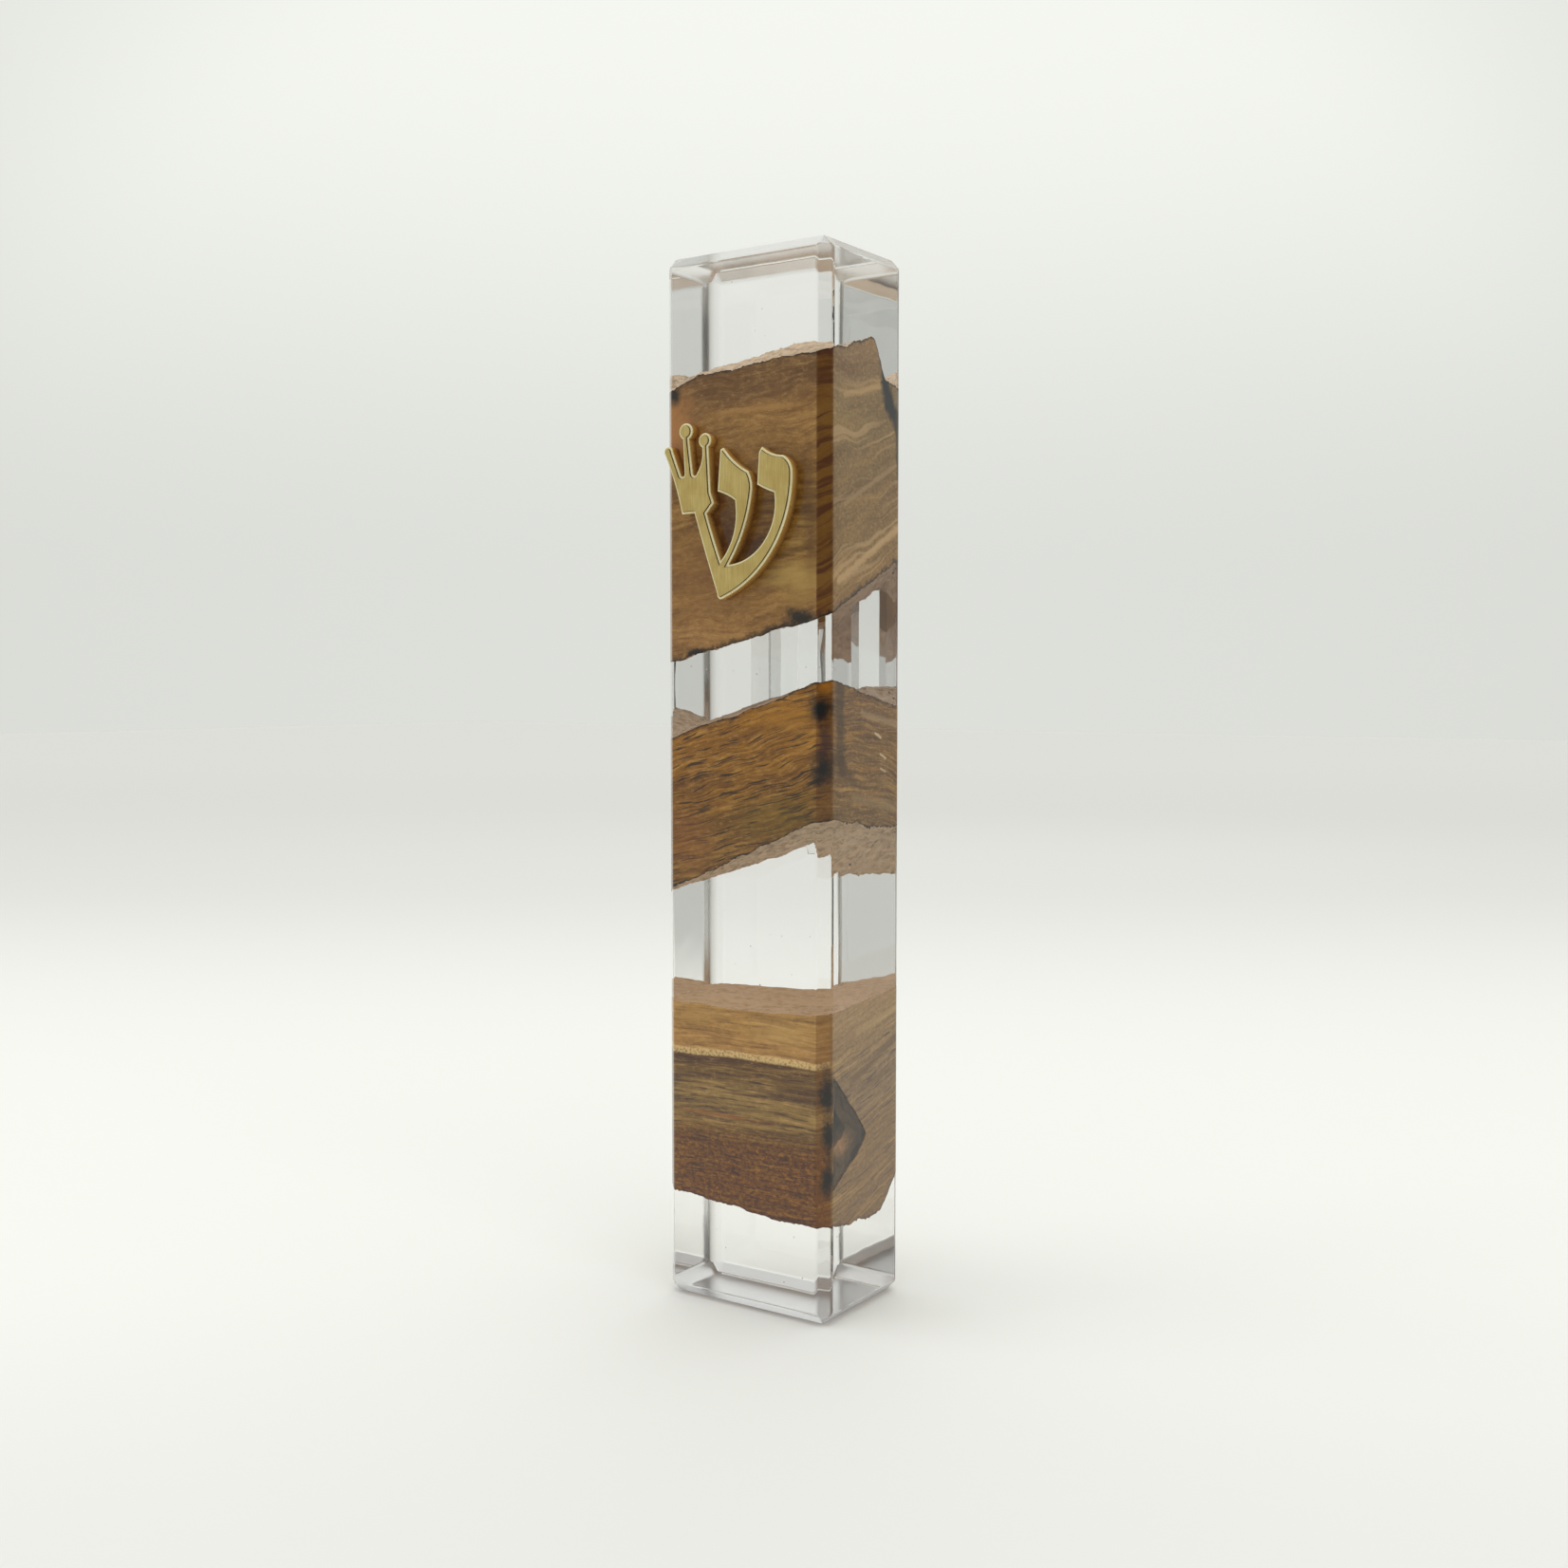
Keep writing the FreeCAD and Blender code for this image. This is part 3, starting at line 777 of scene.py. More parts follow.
def lower_colour(paint):
    """Ochre over a pale line, then dark streaks, olive, and granular dark red."""
    paint.grain_runs(0.6, 14.0, (0.0, 30.0), 0.5)
    paint.grade(10.0, 45.0, (
        (0.0, 110, 70, 34), (0.20, 116, 78, 24), (0.34, 110, 76, 24),
        (0.44, 132, 106, 62), (0.54, 138, 112, 68), (0.60, 120, 94, 56),
        (0.64, 100, 76, 44), (0.685, 88, 64, 36), (0.70, 166, 124, 74),
        (0.80, 172, 132, 78), (1.0, 164, 130, 84)), (
        (0.0, 128, 104, 78), (0.3, 134, 110, 82), (0.55, 128, 106, 80),
        (0.68, 132, 108, 78), (0.8, 150, 122, 88), (1.0, 152, 124, 92)))
    up = paint.up
    fibre = paint.streaks(0.06, 1.7, 5.0)
    lower_half = paint.between(up, 33.8, 32.8)
    calm = paint.less_aside(0.7)
    depth = paint.times(paint.scaled(lower_half, 0.42, 0.34), calm)
    paint.lay(paint.times(paint.between(fibre, 0.56, 0.34), depth), lit(66, 44, 24))
    paint.lay(paint.between(fibre, 0.52, 0.76, 0.0, 0.55), lit(190, 152, 98))
    paint.figure(paint.streaks(0.16, 3.6, 15.0, 0.7), (76, 52, 28), (186, 150, 98),
                 paint.times(paint.less_aside(0.5), 0.36))
    paint.speckle(0.2)
    grains = paint.noise(paint.stretched((1.5, 2.6, 2.4)), 1.0, 3.0, 0.7)
    granular = paint.times(paint.between(up, 25.6, 21.5), calm)
    grit = paint.times(granular, paint.between(grains, 0.52, 0.38))
    glint = paint.times(granular, paint.between(grains, 0.54, 0.70))
    paint.blend(granular, 0.4, (102, 72, 22))
    paint.blend(grit, 0.7, (72, 50, 10))
    paint.blend(glint, 0.7, (156, 106, 54))
    paint.lay(granular, paint.vector("MULTIPLY", paint.colour, (1.0, 0.93, 0.35)))
    dark_lines = paint.times(paint.pores(0.22, 3.6, 0.60), paint.scaled(lower_half, 0.5, 0.3))
    paint.blend(dark_lines, 0.8, (60, 40, 22))
    off_line = paint.math("ABSOLUTE", paint.less(up, 34.1))
    broken = paint.noise(paint.place(), 2.6, 2.0, 0.7)
    pale = paint.times(paint.between(off_line, 0.62, 0.25),
                       paint.between(broken, 0.36, 0.56, 0.3, 1.0))
    on_front = paint.less(1.0, paint.right_side())
    paint.blend(paint.times(pale, on_front), 0.9, (200, 170, 118))
    paint.patch(0.35, (
        ((-4.0, 25.8), (10.0, 3.0, 0.35), 0.5, (134, 70, 40)),
        ((9.0, 31.0), (5.0, 3.0, 2.4), 0.5, (84, 62, 36)),
        ((6.0, 38.0), (6.0, 6.0, 2.2), 0.4, (178, 144, 92)),
        ((-8.0, 39.0), (6.0, 6.0, 2.0), 0.3, (150, 118, 78))))
    paint.blend(paint.corner_face(), 0.45, (112, 76, 36))
    paint.burn((36, 26, 18), (
        ((12.6, -8.6, 30.4), (1.2, 1.5, 3.8)), ((12.8, -8.5, 25.0), (1.0, 1.3, 3.6)),
        ((12.7, -8.5, 19.4), (1.1, 1.3, 3.0))))
    paint.draw((
        ((-3.5, 31.3), (8.4, 35.6), 0.9, 0.55, (100, 80, 60)),
        ((-1.6, 29.6), (8.4, 31.8), 0.7, 0.45, (104, 84, 62)),
        ((-2.0, 37.6), (8.6, 39.6), 0.8, 0.40, (176, 146, 104)),
        ((0.6, 20.5), (8.0, 24.4), 1.0, 0.40, (112, 90, 66))))
    return paint.scaled(grains, 0.5, fibre)


WOOD_LOOKS = {
    # node: (what lays its colour on and returns its relief, edge colour, how far that
    #        reaches at the top and bottom, torn top tint, torn bottom tint)
    "upper_wood": (upper_colour, lit(48, 32, 22), 0.45, 0.8,
                   rgb(240, 214, 186), rgb(214, 184, 158)),
    # the middle block's torn bottom tint is the torn wood's own paleness, made lighter still
    # as painted light for the little light that reaches it from below
    "middle_wood": (middle_colour, lit(52, 38, 26), 0.45, 0.35,
                    rgb(228, 204, 178), rgb(250, 228, 200)),
    "lower_wood": (lower_colour, lit(74, 50, 32), 0.01, 0.45,
                   rgb(222, 188, 154), rgb(190, 152, 118)),
}


def hollow_finish(paint):
    """The wall of the hollow: painted light, warm, on a spot where light falls in, mottled,
    and painted shade in its lower part.
    """
    x, y, z = paint.axes(paint.place())
    mottle = paint.noise(paint.place(), 0.4, 2.0, 0.6)
    # painted light: a warm bright spot where light falls into the hollow
    painted_light_spot = paint.spot((HALF_WIDTH - 2.0, -4.6, 23.2), (3.0, 2.6, 2.4), 0.35)
    paint.colour = paint.mix(painted_light_spot, rgb(130, 104, 72), rgb(236, 176, 120))
    paint.lay(paint.between(mottle, 0.35, 0.65, 0.0, 0.3), rgb(84, 76, 66))
    # painted shade over the lower part of the hollow, where little light reaches
    painted_shade_level = paint.scaled(mottle, 3.0, paint.scaled(y, -0.9, z))
    paint.lay(paint.between(painted_shade_level, 26.5, 24.0), rgb(38, 32, 26))
    paint.lay(paint.between(x, HALF_WIDTH - 0.8, HALF_WIDTH), rgb(60, 48, 36))
    return paint.raw(mottle, 0.25)


def wood_materials(node):
    """The finishes of one block: polished, torn top and bottom, milled and hollow."""
    colour_of, dark, top_reach, bottom_reach, top_tint, bottom_tint = WOOD_LOOKS[node]
    paint = WoodPaint(node + "_polished")
    height = colour_of(paint)
    paint.char_edges(dark, top_reach, bottom_reach)
    made = [paint.polished(height)]
    for side, tint in (("top", top_tint), ("bottom", bottom_tint)):
        paint = WoodPaint("%s_torn_%s" % (node, side))
        height = colour_of(paint)
        lumps = paint.noise(paint.place(), 0.7, 4.0, 0.65)
        paint.lay(paint.between(lumps, 0.3, 0.6, 0.35, 0.85), tint)
        made.append(paint.raw(height, 0.12))
    paint = WoodPaint(node + "_milled")
    colour_of(paint)
    marks = paint.noise(paint.stretched((0.4, 0.4, 3.0)))
    made.append(paint.raw(marks, 0.03))
    made.append(hollow_finish(WoodPaint(node + "_hollow")))
    return made


POLISHED, TORN_TOP, TORN_BOTTOM, MILLED, HOLLOW = range(5)


# -------------------- wood pieces
def mark_wood(piece, torn):
    """Gives each face its finish, and each point its distance to the torn edges."""
    mesh = piece.data
    top_gap, bottom_gap = [], []
    for vertex in mesh.vertices:
        x, y, z = vertex.co / MM
        top_gap.append(torn.top(x, y) - z)
        bottom_gap.append(z - torn.bottom(x, y))
    for name, values in (("top_gap", top_gap), ("bottom_gap", bottom_gap)):
        layer = mesh.attributes.new(name, "FLOAT", "POINT")
        layer.data.foreach_set("value", np.array(values, np.float32))
    on_surface = 0.03
    corner_reach = HALF_WIDTH + HALF_DEPTH - BEVEL
    for face in mesh.polygons:
        corners = face.vertices
        centre = face.center / MM
        if all(top_gap[i] < on_surface for i in corners):
            face.material_index = TORN_TOP
            face.use_smooth = True
        elif all(bottom_gap[i] < on_surface for i in corners):
            face.material_index = TORN_BOTTOM
            face.use_smooth = True
        elif abs(centre.x) < SLOT_HALF + 0.01 and SLOT_FLOOR - 0.1 < centre.y < HALF_DEPTH:
            face.material_index = MILLED
        elif max(abs(centre.x) - HALF_WIDTH, abs(centre.y) - HALF_DEPTH,
                 abs(centre.x) + abs(centre.y) - corner_reach) < -0.15:
            face.material_index = HOLLOW


# The hollow in the lower block's right side: its outline there, as (y, z)
HOLLOW_OUTLINE = ((-7.9, 33.0), (-5.4, 30.2), (-2.3, 26.9), (0.4, 23.8),
                  (-1.9, 21.2), (-5.3, 19.6), (-7.9, 17.8))
HOLLOW_CENTRE = (-5.0, 25.5)
HOLLOW_DEPTH = 3.0


def hollow_solid(name, grow):
    """The hollow as a solid: ragged walls that close in towards its bottom. grow is
    how far its walls are moved outwards."""
    corners = [Vector(place) for place in HOLLOW_OUTLINE]
    centre = Vector(HOLLOW_CENTRE)
    path = with_spacing(soften(corners, [0.3] * len(corners), 3, closed=True), 0.4)
    rings = []
    levels = 9
    for level in range(levels + 1):
        depth = level / levels
        x = HALF_WIDTH - HOLLOW_DEPTH * depth if level else HALF_WIDTH + 1.5
        closing = math.sqrt(1.0 - 0.86 * depth ** 2)
        ring = []
        for p in path:
            ragged = noise.noise(Vector((depth * 4.0, p.x * 0.6, p.y * 0.6)))
            share = closing * (1.0 + 0.22 * ragged * min(1.0, 3 * depth))
            out = (p - centre) * share
            out += out.normalized() * grow
            ring.append((x, centre.x + out.x, centre.y + out.y))
        rings.append(ring)
    return stack(name, rings)


def make_wood(node, name, holes=()):
    """A block of wood: cut from its torn solid to the bar's section, and slotted."""
    torn = TORN[node]
    piece = gridded_bar(name, torn.low, torn.high, PROUD, 0.7, 0.7)
    combine(piece, torn.solid(name + "_form", 0.0), "INTERSECT")
    if torn.high > SLOT_FOOT:
        combine(piece, slot_cutter(name + "_slot", PROUD), "DIFFERENCE")
    for hole in holes:
        combine(piece, hole, "DIFFERENCE")
    mark_wood(piece, torn)
    for material in wood_materials(node):
        piece.data.materials.append(material)
    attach(piece, "case")
    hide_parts(node)


make_wood("upper_wood", "upper_wood_block")
make_wood("middle_wood", "middle_wood_block")
make_wood("lower_wood", "lower_wood_block", [hollow_solid("hollow", 0.0)])


def fill_hollow():
    """The clear resin that fills the hollow, flush with the bar's side."""
    piece = bar_piece("hollow_fill", 17.0, 35.0)
    combine(piece, hollow_solid("fill_shape", 0.06), "INTERSECT")
    piece.data.materials.append(CLEAR_RESIN)
    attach(piece, "case")


fill_hollow()


# -------------------- clear castings
def add_bubbles(piece, seed, count, low, high):
    """Tiny hollows left in the casting: small spheres that face inwards."""
    draw = random.Random(seed)
    shape = bmesh.new()
    shape.from_mesh(piece.data)
    for _ in range(count):
        radius = draw.uniform(0.05, 0.13)
        place = Vector((draw.uniform(-0.8, 0.8) * HALF_WIDTH,
                        draw.uniform(-0.85, 0.0) * HALF_DEPTH,
                        draw.uniform(low, high)))
        made = bmesh.ops.create_icosphere(shape, subdivisions=2, radius=radius * MM)
        for vertex in made["verts"]:
            vertex.co += place * MM
        faces = {face for vertex in made["verts"] for face in vertex.link_faces}
        bmesh.ops.reverse_faces(shape, faces=list(faces))
        for face in faces:
            face.smooth = True
    shape.to_mesh(piece.data)
    shape.free()


CASTING_LOOKS = (CLEAR_RESIN, MILLED_RESIN, END_RESIN, GROUND_RESIN, BASE_RESIN)
CLEAR, SLOT_WALL, TOP_END, REAR_BEVEL, BASE_END = range(5)    # places in the above


def make_casting(name, node, low, high, woods, bubbles, ends=(False, False)):
    """One clear casting, between the torn faces of the wood next to it."""
    piece = bar_piece(name, low, high, *ends)
    for wood in woods:
        combine(piece, TORN[wood].solid(name + "_wood", SINK), "DIFFERENCE")
    if high > SLOT_FOOT and low < SLOT_HEAD:
        combine(piece, slot_cutter(name + "_slot", 0.0), "DIFFERENCE")
    for face in piece.data.polygons:
        x, y, z = face.center / MM
        lean = face.normal
        in_slot = abs(x) < SLOT_HALF + 0.01 and SLOT_FLOOR < y < HALF_DEPTH - 0.01
        at_end = z < BEVEL - 0.1 or z > HEIGHT - BEVEL + 0.1
        if in_slot and abs(lean.y) < 0.5:
            face.material_index = SLOT_WALL
        elif at_end and abs(lean.z) > 0.3:
            face.material_index = TOP_END if lean.z > 0 else BASE_END
        elif min(lean.y, abs(lean.x)) > 0.05 and abs(x) > HALF_WIDTH - BEVEL - 0.1:
            face.material_index = REAR_BEVEL
    add_bubbles(piece, *bubbles)
    for material in CASTING_LOOKS:
        piece.data.materials.append(material)
    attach(piece, "case")
    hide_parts(node)


def middle_of(node):
    """A height well inside a block of wood."""
    low, high = box_mm(node)
    return (low.z + high.z) / 2


make_casting("base_casting", "base_resin", 0.0, middle_of("lower_wood"),
             ["lower_wood"], (5, 5, 2.0, 10.0), (True, False))
make_casting("lower_window_casting", "lower_window_resin", middle_of("lower_wood"),
             middle_of("middle_wood"), ["lower_wood", "middle_wood"], (8, 9, 43.0, 54.0))
make_casting("upper_window_casting", "upper_window_resin", middle_of("middle_wood"),
             middle_of("upper_wood"), ["middle_wood", "upper_wood"], (3, 6, 84.5, 86.0))
make_casting("top_casting", "top_resin", middle_of("upper_wood"), HEIGHT,
             ["upper_wood"], (9, 5, 128.5, 137.0), (False, True))


# -------------------- brass letter
LETTER_THICKNESS = -box_mm("shin_letter")[0].y - HALF_DEPTH


def brass_material(name, roughness, brushed):
    """Brass: brushed from top to bottom on its face, and polished on its edges, where the
    thin bevel is pale, a painted highlight, and the sides are deeper gold, with painted shade
    darker towards the wood."""
    paint = Paint(name)
    here = paint.place()
    brush = paint.noise(paint.stretched((9.0, 2.0, 0.35)), 1.0, 3.0, 0.6)
    cloud = paint.noise(here, 0.35, 2.0)
    if brushed:
        paint.colour = paint.mix(paint.between(cloud, 0.35, 0.65), rgb(238, 214, 140),
                                 rgb(226, 198, 124))
        paint.lay(paint.between(brush, 0.35, 0.65, 0.0, 0.35), rgb(176, 150, 90))
    else:
        behind = paint.plus(paint.axes(here)[1], HALF_DEPTH + LETTER_THICKNESS)
        # painted highlight: the rim and its edge are pale, at the front
        paint.colour = paint.mix(paint.between(behind, 0.25, 0.5), rgb(255, 244, 196),
                                 rgb(204, 156, 76))
        paint.lay(paint.between(cloud, 0.35, 0.65, 0.0, 0.3), rgb(236, 208, 140))
        # painted shade: the sides darken towards the wood
        paint.lay(paint.between(behind, 0.5, LETTER_THICKNESS), rgb(150, 100, 46))
    rough = paint.between(brush, 0.3, 0.7, roughness * 0.85, roughness * 1.2)
    return paint.surface(Metallic=0.9 if brushed else 0.3, Roughness=rough,
                         Normal=paint.bump(brush, 0.01, brushed))


def groove_material():
    """The dark line beside the raised face: painted shade on the wall of the groove, mottled.
    """
    paint = Paint("brass_groove")
    groove_mottle = paint.noise(paint.place(), 1.8, 3.0, 0.6)
    # painted shade: the groove's wall is dark, mottled
    paint.colour = paint.mix(groove_mottle, rgb(34, 26, 12), rgb(96, 76, 38))
    return paint.surface(Metallic=0.4, Roughness=0.5,
                         Normal=paint.bump(groove_mottle, 0.02, 0.5))


def letter_outline():
    """The letter's outline as packed: the edge loop of its front face, in order."""
    shape = bmesh.new()
    shape.from_mesh(NODES["shin_letter"].data)
    bmesh.ops.remove_doubles(shape, verts=shape.verts, dist=0.001 * MM)
    front = min(v.co.y for v in shape.verts) + 0.01 * MM
    following = {}
    for face in shape.faces:
        if all(v.co.y < front for v in face.verts):
            for loop in face.loops:
                other = [f for f in loop.edge.link_faces if f is not face]
                if any(max(v.co.y for v in f.verts) > front for f in other):
                    following[loop.vert] = loop.link_loop_next.vert
    here = next(iter(following))
    path = []
    for _ in range(len(following)):
        path.append(Vector((here.co.x, here.co.z)) / MM)
        here = following[here]
    shape.free()
    return path


def distance_to(path, place):
    """How far a place is from the nearest edge of a closed path."""
    best = FAR
    for index, here in enumerate(path):
        along = here - path[index - 1]
        share = (place - path[index - 1]).dot(along) / max(along.length_squared, 1e-9)
        nearest = path[index - 1] + along * min(1.0, max(0.0, share))
        best = min(best, (place - nearest).length)
    return best


def drawn_in(path, amount):
    """The closed path moved inwards by the same amount everywhere. A point with no
    room to move, as in a sharp hollow, goes to where its neighbour went."""
    if amount < 0.001:
        return list(path)
    area = sum(a.x * b.y - b.x * a.y for a, b in zip(path, path[1:] + path[:1]))
    side = 1 if area > 0 else -1
    moved = []
    for index, here in enumerate(path):
        before = (here - path[index - 1]).normalized()
        after = (path[(index + 1) % len(path)] - here).normalized()
        normals = [Vector((-d.y, d.x)) * side for d in (before, after)]
        middle = normals[0] + normals[1]
        reach = amount / max(0.5, middle.length / 2)
        moved.append(here + middle.normalized() * reach)
    free = [distance_to(path, place) > 0.93 * amount for place in moved]
    for index in range(len(moved)):
        step = 0
        while not free[(index + step) % len(moved)]:
            step += 1
        moved[index] = moved[(index + step) % len(moved)]
    return moved


POLISHED_BRASS, BRUSHED_BRASS, GROOVE = range(3)


def make_letter():
    """The letter: a brushed face raised above a thin polished rim all round it."""
    low, high = box_mm("shin_letter")
    outline = letter_outline()
    rim = 0.28        # width of the rim
    step = 0.17       # and how far the face stands above it
    rings = [(0.0, high.y), (0.0, low.y + step + 0.08), (0.03, low.y + step + 0.02),
             (0.08, low.y + step), (rim, low.y + step), (rim + 0.02, low.y + 0.03),
             (rim + 0.05, low.y)]
    # Each ring is how far it is drawn in, and its y: up the side, over the rim's edge,
    # across the rim, and up the groove's wall to the face
    loops = [[(p.x, y, p.y) for p in drawn_in(outline, inset)] for inset, y in rings]
    piece = stack("brass_letter", loops)
    clean(piece)
    for face in piece.data.polygons:
        behind = face.center.y / MM - low.y
        upright = abs(face.normal.y) < 0.75
        if behind < 0.01:
            face.material_index = BRUSHED_BRASS
        elif behind < step - 0.01 and upright:
            face.material_index = GROOVE
    piece.data.materials.append(brass_material("brass_polished", 0.3, 0.0))
    piece.data.materials.append(brass_material("brass_brushed", 0.34, 0.5))
    piece.data.materials.append(groove_material())
    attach(piece, "case")
    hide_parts("shin_letter")


make_letter()


# -------------------- cover and tape
def make_cover():
    """The clear strip over the slot: rounded corners, a nail notch, eased edges."""
    low, high = box_mm("back_cover")
    mesh = NODES["back_cover"].data
    foot = [v.co / MM for v in mesh.vertices if abs(v.co.x / MM) < 0.3]
    notch_top = min(v.z for v in foot if v.z > low.z + 0.5 and v.z < low.z + 10)
    radius = notch_top - low.z
    corners = [Vector((-radius, low.z)), Vector((low.x, low.z)), Vector((low.x, high.z)),
               Vector((high.x, high.z)), Vector((high.x, low.z)), Vector((radius, low.z))]
    path = soften(corners, [CUTTER_RADIUS * 1.15] * len(corners), 8, closed=False)
    for step in range(1, 12):
        angle = math.pi * step / 12
        path.append(Vector((radius * math.cos(angle),
                            low.z + radius * math.sin(angle))))
    ease = 0.12
    rings = [(ease, low.y), (0.0, low.y + ease), (0.0, high.y - ease), (ease, high.y)]
    loops = [[(p.x, y, p.y) for p in drawn_in(path, inset)] for inset, y in rings]
    piece = stack("back_cover_strip", loops)
    clean(piece)
    piece.data.materials.append(CLEAR_ACRYLIC)
    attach(piece, "cover")
    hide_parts("back_cover")


make_cover()


def foam_material():
    """White closed-cell foam: small round cells, some of them open on the cut sides."""
    paint = Paint("foam")
    cells = paint.add("TexVoronoi", Vector=paint.place(), Scale=4.5).outputs["Distance"]
    cloud = paint.noise(paint.place(), 0.6, 3.0)
    paint.colour = paint.mix(paint.between(cells, 0.1, 0.5), rgb(176, 176, 172),
                             rgb(226, 226, 222))
    paint.lay(paint.between(cloud, 0.3, 0.7, 0.0, 0.3), rgb(206, 204, 196))
    return paint.surface(Roughness=0.8, Normal=paint.bump(cells, 0.05, 0.8))


def adhesive_material():
    """The thin clear-grey layer of glue on both faces of the foam."""
    paint = Paint("adhesive")
    grain = paint.noise(paint.place(), 2.2, 3.0, 0.6)
    paint.colour = paint.mix(grain, rgb(190, 192, 190), rgb(214, 214, 210))
    return paint.surface(Roughness=0.3, Normal=paint.bump(grain, 0.02, 0.6))


def make_tape(node, seed, materials):
    """A strip of foam tape: its foam draws in a little between two layers of glue."""
    low, high = box_mm(node)
    glue = 0.08        # thickness of each layer of glue
    squeeze = 0.09     # how far the foam draws in
    spacing = 0.35
    centre = Vector(((low.x + high.x) / 2, (low.z + high.z) / 2))
    half = Vector(((high.x - low.x) / 2, (high.z - low.z) / 2))
    corners = [Vector((low.x, low.z)), Vector((high.x, low.z)),
               Vector((high.x, high.z)), Vector((low.x, high.z))]
    edge = with_spacing(soften(corners, [0.3] * len(corners), 3, closed=True), spacing)
    depths = [low.y, low.y + glue, low.y + glue + 0.02]
    depths += list(np.linspace(low.y + 0.25, high.y - 0.25, 3))
    depths += [high.y - glue - 0.02, high.y - glue, high.y]
    rings = []
    for y in depths:
        in_foam = low.y + glue + 0.01 < y < high.y - glue - 0.01
        ring = []
        for p in edge:
            grain = noise.noise(Vector((p.x * 1.8, y * 4.0 + seed, p.y * 1.8)))
            inset = squeeze * (1.0 + 0.7 * grain) if in_foam else 0.01
            ring.append((centre.x + (p.x - centre.x) * (1 - inset / half.x), y,
                         centre.y + (p.y - centre.y) * (1 - inset / half.y)))
        rings.append(ring[::-1])
    piece = stack(node + "_strip", rings)
    middle = (low.y + high.y) / 2
    half_foam = middle - low.y - glue - 0.01
    foam, glue_layer = range(2)
    for face in piece.data.polygons:
        in_foam = abs(face.center.y / MM - middle) < half_foam
        face.material_index = foam if in_foam else glue_layer
    for material in materials:
        piece.data.materials.append(material)
    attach(piece, "case")
    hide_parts(node)


tape_materials = (foam_material(), adhesive_material())
for number, node in enumerate(sorted(n for n in NODES if n.startswith("tape_"))):
    make_tape(node, 10.0 * number, tape_materials)


# -------------------- camera
CAMERA_AZIMUTH = math.radians(34.36)     # to the right of straight in front
CAMERA_DISTANCE = 239.24
CAMERA_HEIGHT = 83.77
CAMERA_PITCH = math.radians(-3.328)
FOCAL_IN_WIDTHS = 1859.64 / 1652         # focal length, in picture widths

camera_data = bpy.data.cameras.new("camera")
camera_data.sensor_width = 36.0
camera_data.lens = camera_data.sensor_width * FOCAL_IN_WIDTHS
camera_data.clip_start = 0.001
camera = bpy.data.objects.new("camera", camera_data)
bpy.context.scene.collection.objects.link(camera)
bpy.context.scene.camera = camera
BEHIND = Vector((-math.sin(CAMERA_AZIMUTH), math.cos(CAMERA_AZIMUTH), 0.0))
looking = BEHIND * math.cos(CAMERA_PITCH) + Vector((0, 0, math.sin(CAMERA_PITCH)))
camera.location = (BEHIND * -CAMERA_DISTANCE + Vector((0, 0, CAMERA_HEIGHT))) * MM
camera.rotation_mode = "QUATERNION"
camera.rotation_quaternion = looking.to_track_quat("-Z", "Y")


# -------------------- studio
PAPER = (0.985, 1.0, 0.945)      # the faint warm green of the backdrop


WORLD_FRONT, WORLD_BACK = 0.30, 0.74    # light from straight in front, and behind
WORLD_RISE = 0.20                       # how much more comes from a little higher up,
WORLD_CORNERS = 0.5                     # less this share of it off to the sides
WORLD_TOP = 0.6                         # how much more comes from above
CARD_DIRECTION = (0.824, -0.566, 0.0)   # a dark card stands to the right, in front


def make_world():
    """Soft light all round: bright behind and above, and dimmer from the front."""
    world = bpy.data.worlds.new("studio")
    bpy.context.scene.world = world
    paint = Paint("studio", world, "ShaderNodeOutputWorld")
    direction = paint.add("TexCoord").outputs["Generated"]
    facing = paint.dot(direction, tuple(BEHIND))
    upward = paint.axes(direction)[2]
    sideways = paint.between(facing, -1.0, 1.0, WORLD_FRONT, WORLD_BACK, smooth=False)
    rise = paint.between(upward, 0.05, 0.36, 0.0, WORLD_RISE)
    top = paint.between(upward, 0.4, 0.95, 0.0, WORLD_TOP)
    aside = paint.between(facing, 0.925, 0.86, 0.0, WORLD_CORNERS)
    rise = paint.less(rise, paint.times(aside, rise))
    card = paint.between(paint.dot(direction, CARD_DIRECTION), 0.80, 0.93, 1.0, 0.12)
    total = paint.plus(paint.times(paint.plus(sideways, rise), card), top)
    paint.finish(paint.add("Background", Color=(*PAPER, 1.0), Strength=total))


make_world()


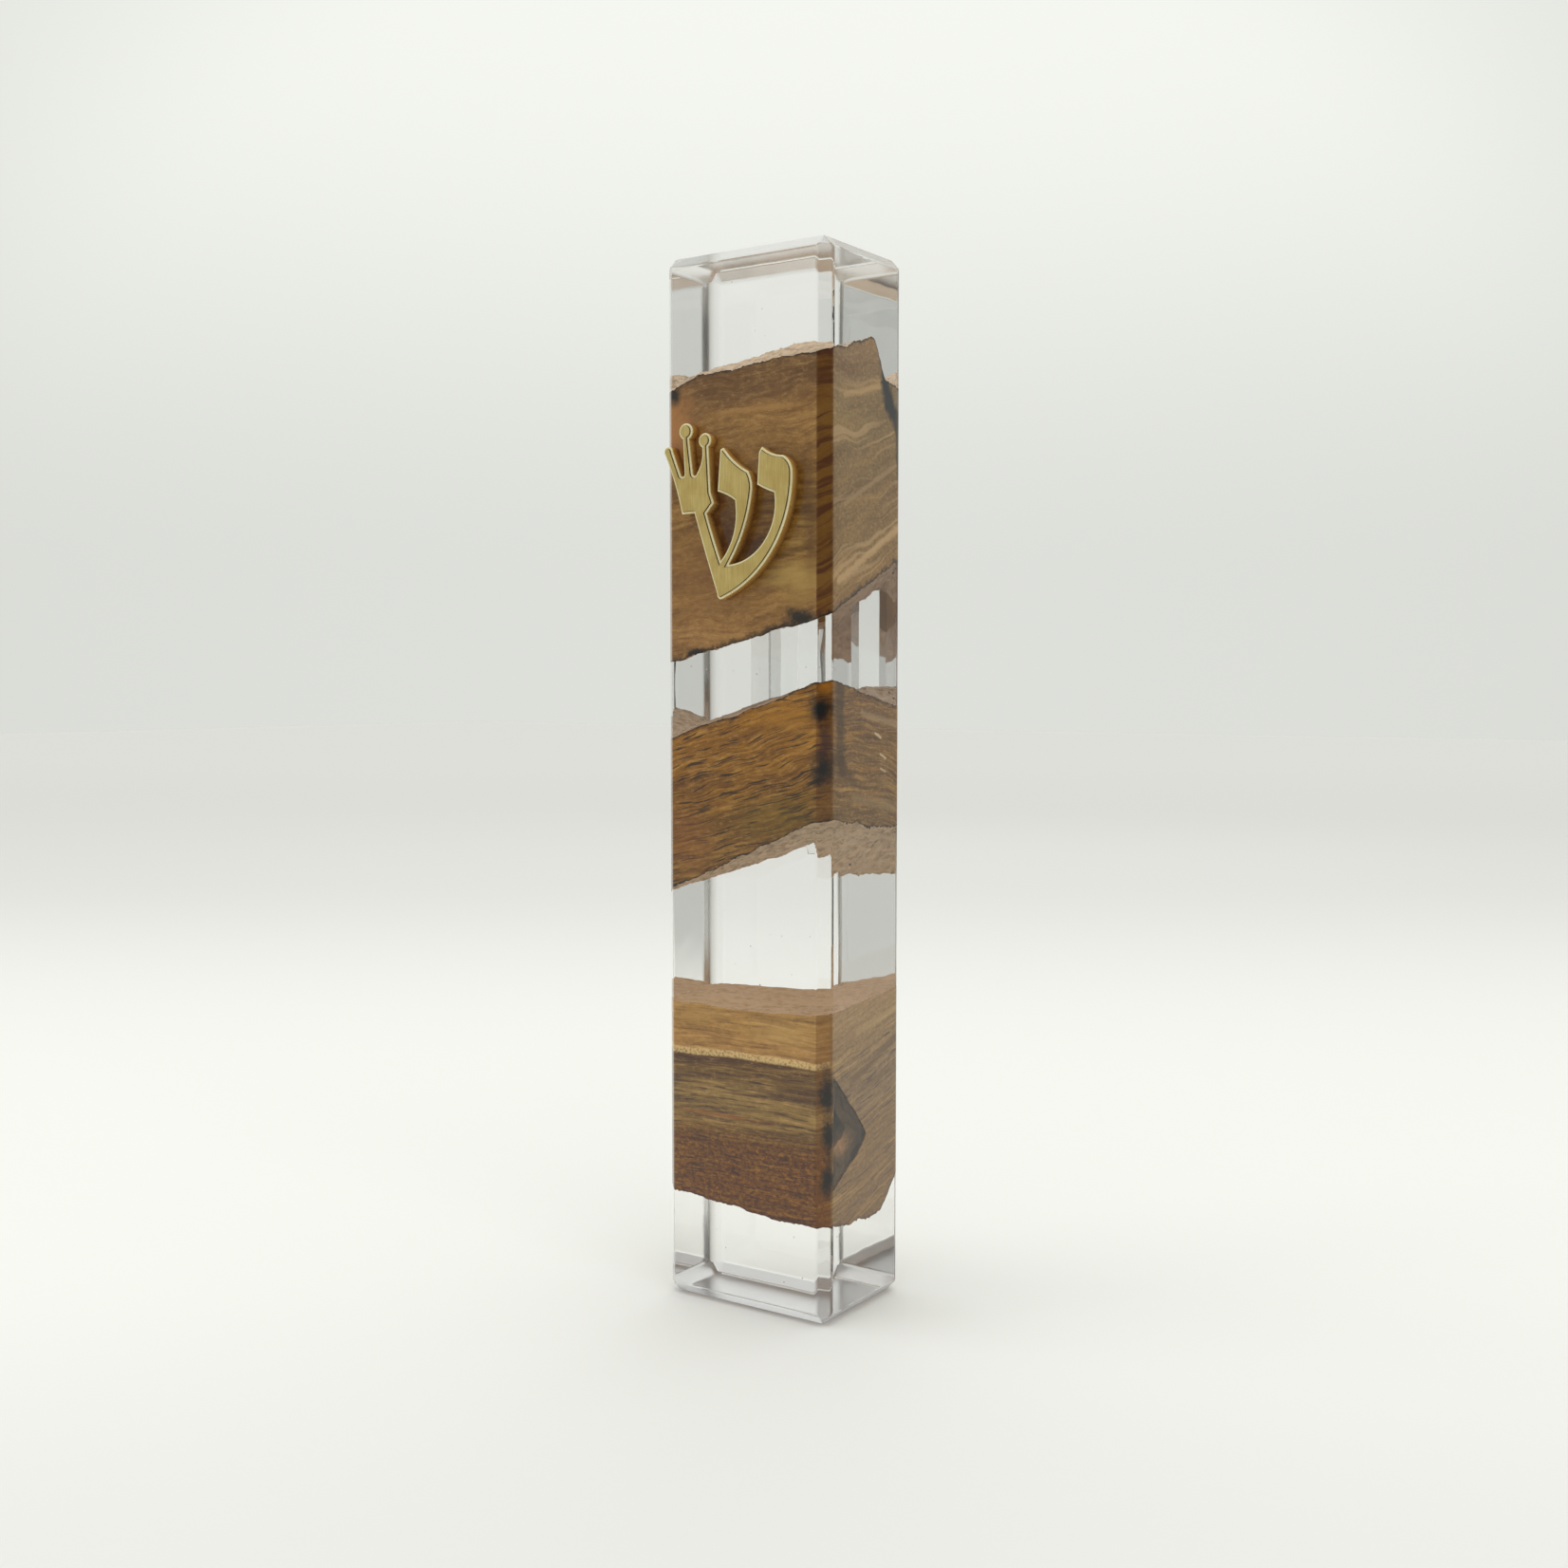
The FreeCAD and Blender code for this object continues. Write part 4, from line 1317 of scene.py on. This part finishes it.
def make_floor():
    """A pale seamless sheet, with painted shade that makes it a little darker behind the
    object and towards the front, on a greyer table that shows beside it and in front. It lies
    a hair under the hard flat base."""
    half = 2500.0      # half of the sheet's side
    count = 24         # squares along a side
    under = -0.04
    lines = np.linspace(-half, half, count + 1)
    points = [(x, y, under) for y in lines for x in lines]
    faces = []
    for j in range(count):
        for i in range(count):
            a = j * (count + 1) + i
            faces.append([a, a + 1, a + count + 2, a + count + 1])
    floor = new_object("floor", points, faces)
    paint = Paint("paper")
    away = paint.dot(paint.place(), tuple(BEHIND))
    sideways = paint.dot(paint.place(), (BEHIND.y, -BEHIND.x, 0.0))
    # painted shade: the sheet darkens from near the object to further behind it, grows a
    # little lighter again far off, and darkens towards the front
    paint.colour = paint.mix(paint.between(away, 120.0, 500.0),
                             (0.885, 0.885, 0.87), (0.755, 0.75, 0.745))
    paint.lay(paint.between(away, 10.0, -90.0), (0.795, 0.795, 0.785))
    paint.lay(paint.between(away, 600.0, 1700.0), (0.79, 0.785, 0.78))
    beside = paint.scaled(away, -0.5, paint.math("ABSOLUTE", sideways))
    paint.lay(paint.between(beside, 150.0, 260.0), (0.52, 0.52, 0.51))
    paint.lay(paint.between(away, -100.0, -260.0), (0.55, 0.55, 0.54))
    cloud = paint.noise(paint.place(), 0.004, 1.0)
    paint.lay(paint.between(cloud, 0.3, 0.7, 0.0, 0.02), [0.8 * c for c in PAPER])
    floor.data.materials.append(paint.surface(Roughness=0.7, Specular_IOR_Level=0.15))


make_floor()


def area_light(name, place, size, power):
    """A soft square lamp aimed at the middle of the case, that reflects in nothing."""
    data = bpy.data.lights.new(name, "AREA")
    data.size = size * MM
    data.energy = power
    lamp = bpy.data.objects.new(name, data)
    bpy.context.scene.collection.objects.link(lamp)
    lamp.location = Vector(place) * MM
    lamp.rotation_mode = "QUATERNION"
    aim = Vector((0, 0, HEIGHT / 2)) - Vector(place)
    lamp.rotation_quaternion = aim.to_track_quat("-Z", "Y")
    lamp.visible_glossy = False
    lamp.visible_transmission = False
    lamp.visible_camera = False


area_light("key", (-500.0, -350.0, 650.0), 450.0, 0.85)
area_light("fill", (450.0, -250.0, 500.0), 400.0, 0.65)
area_light("back", (-250.0, 600.0, 450.0), 400.0, 0.2)

scene = bpy.context.scene
scene.view_settings.view_transform = "Standard"
scene.cycles.max_bounces = 24
scene.cycles.transmission_bounces = 24
scene.cycles.transparent_max_bounces = 16
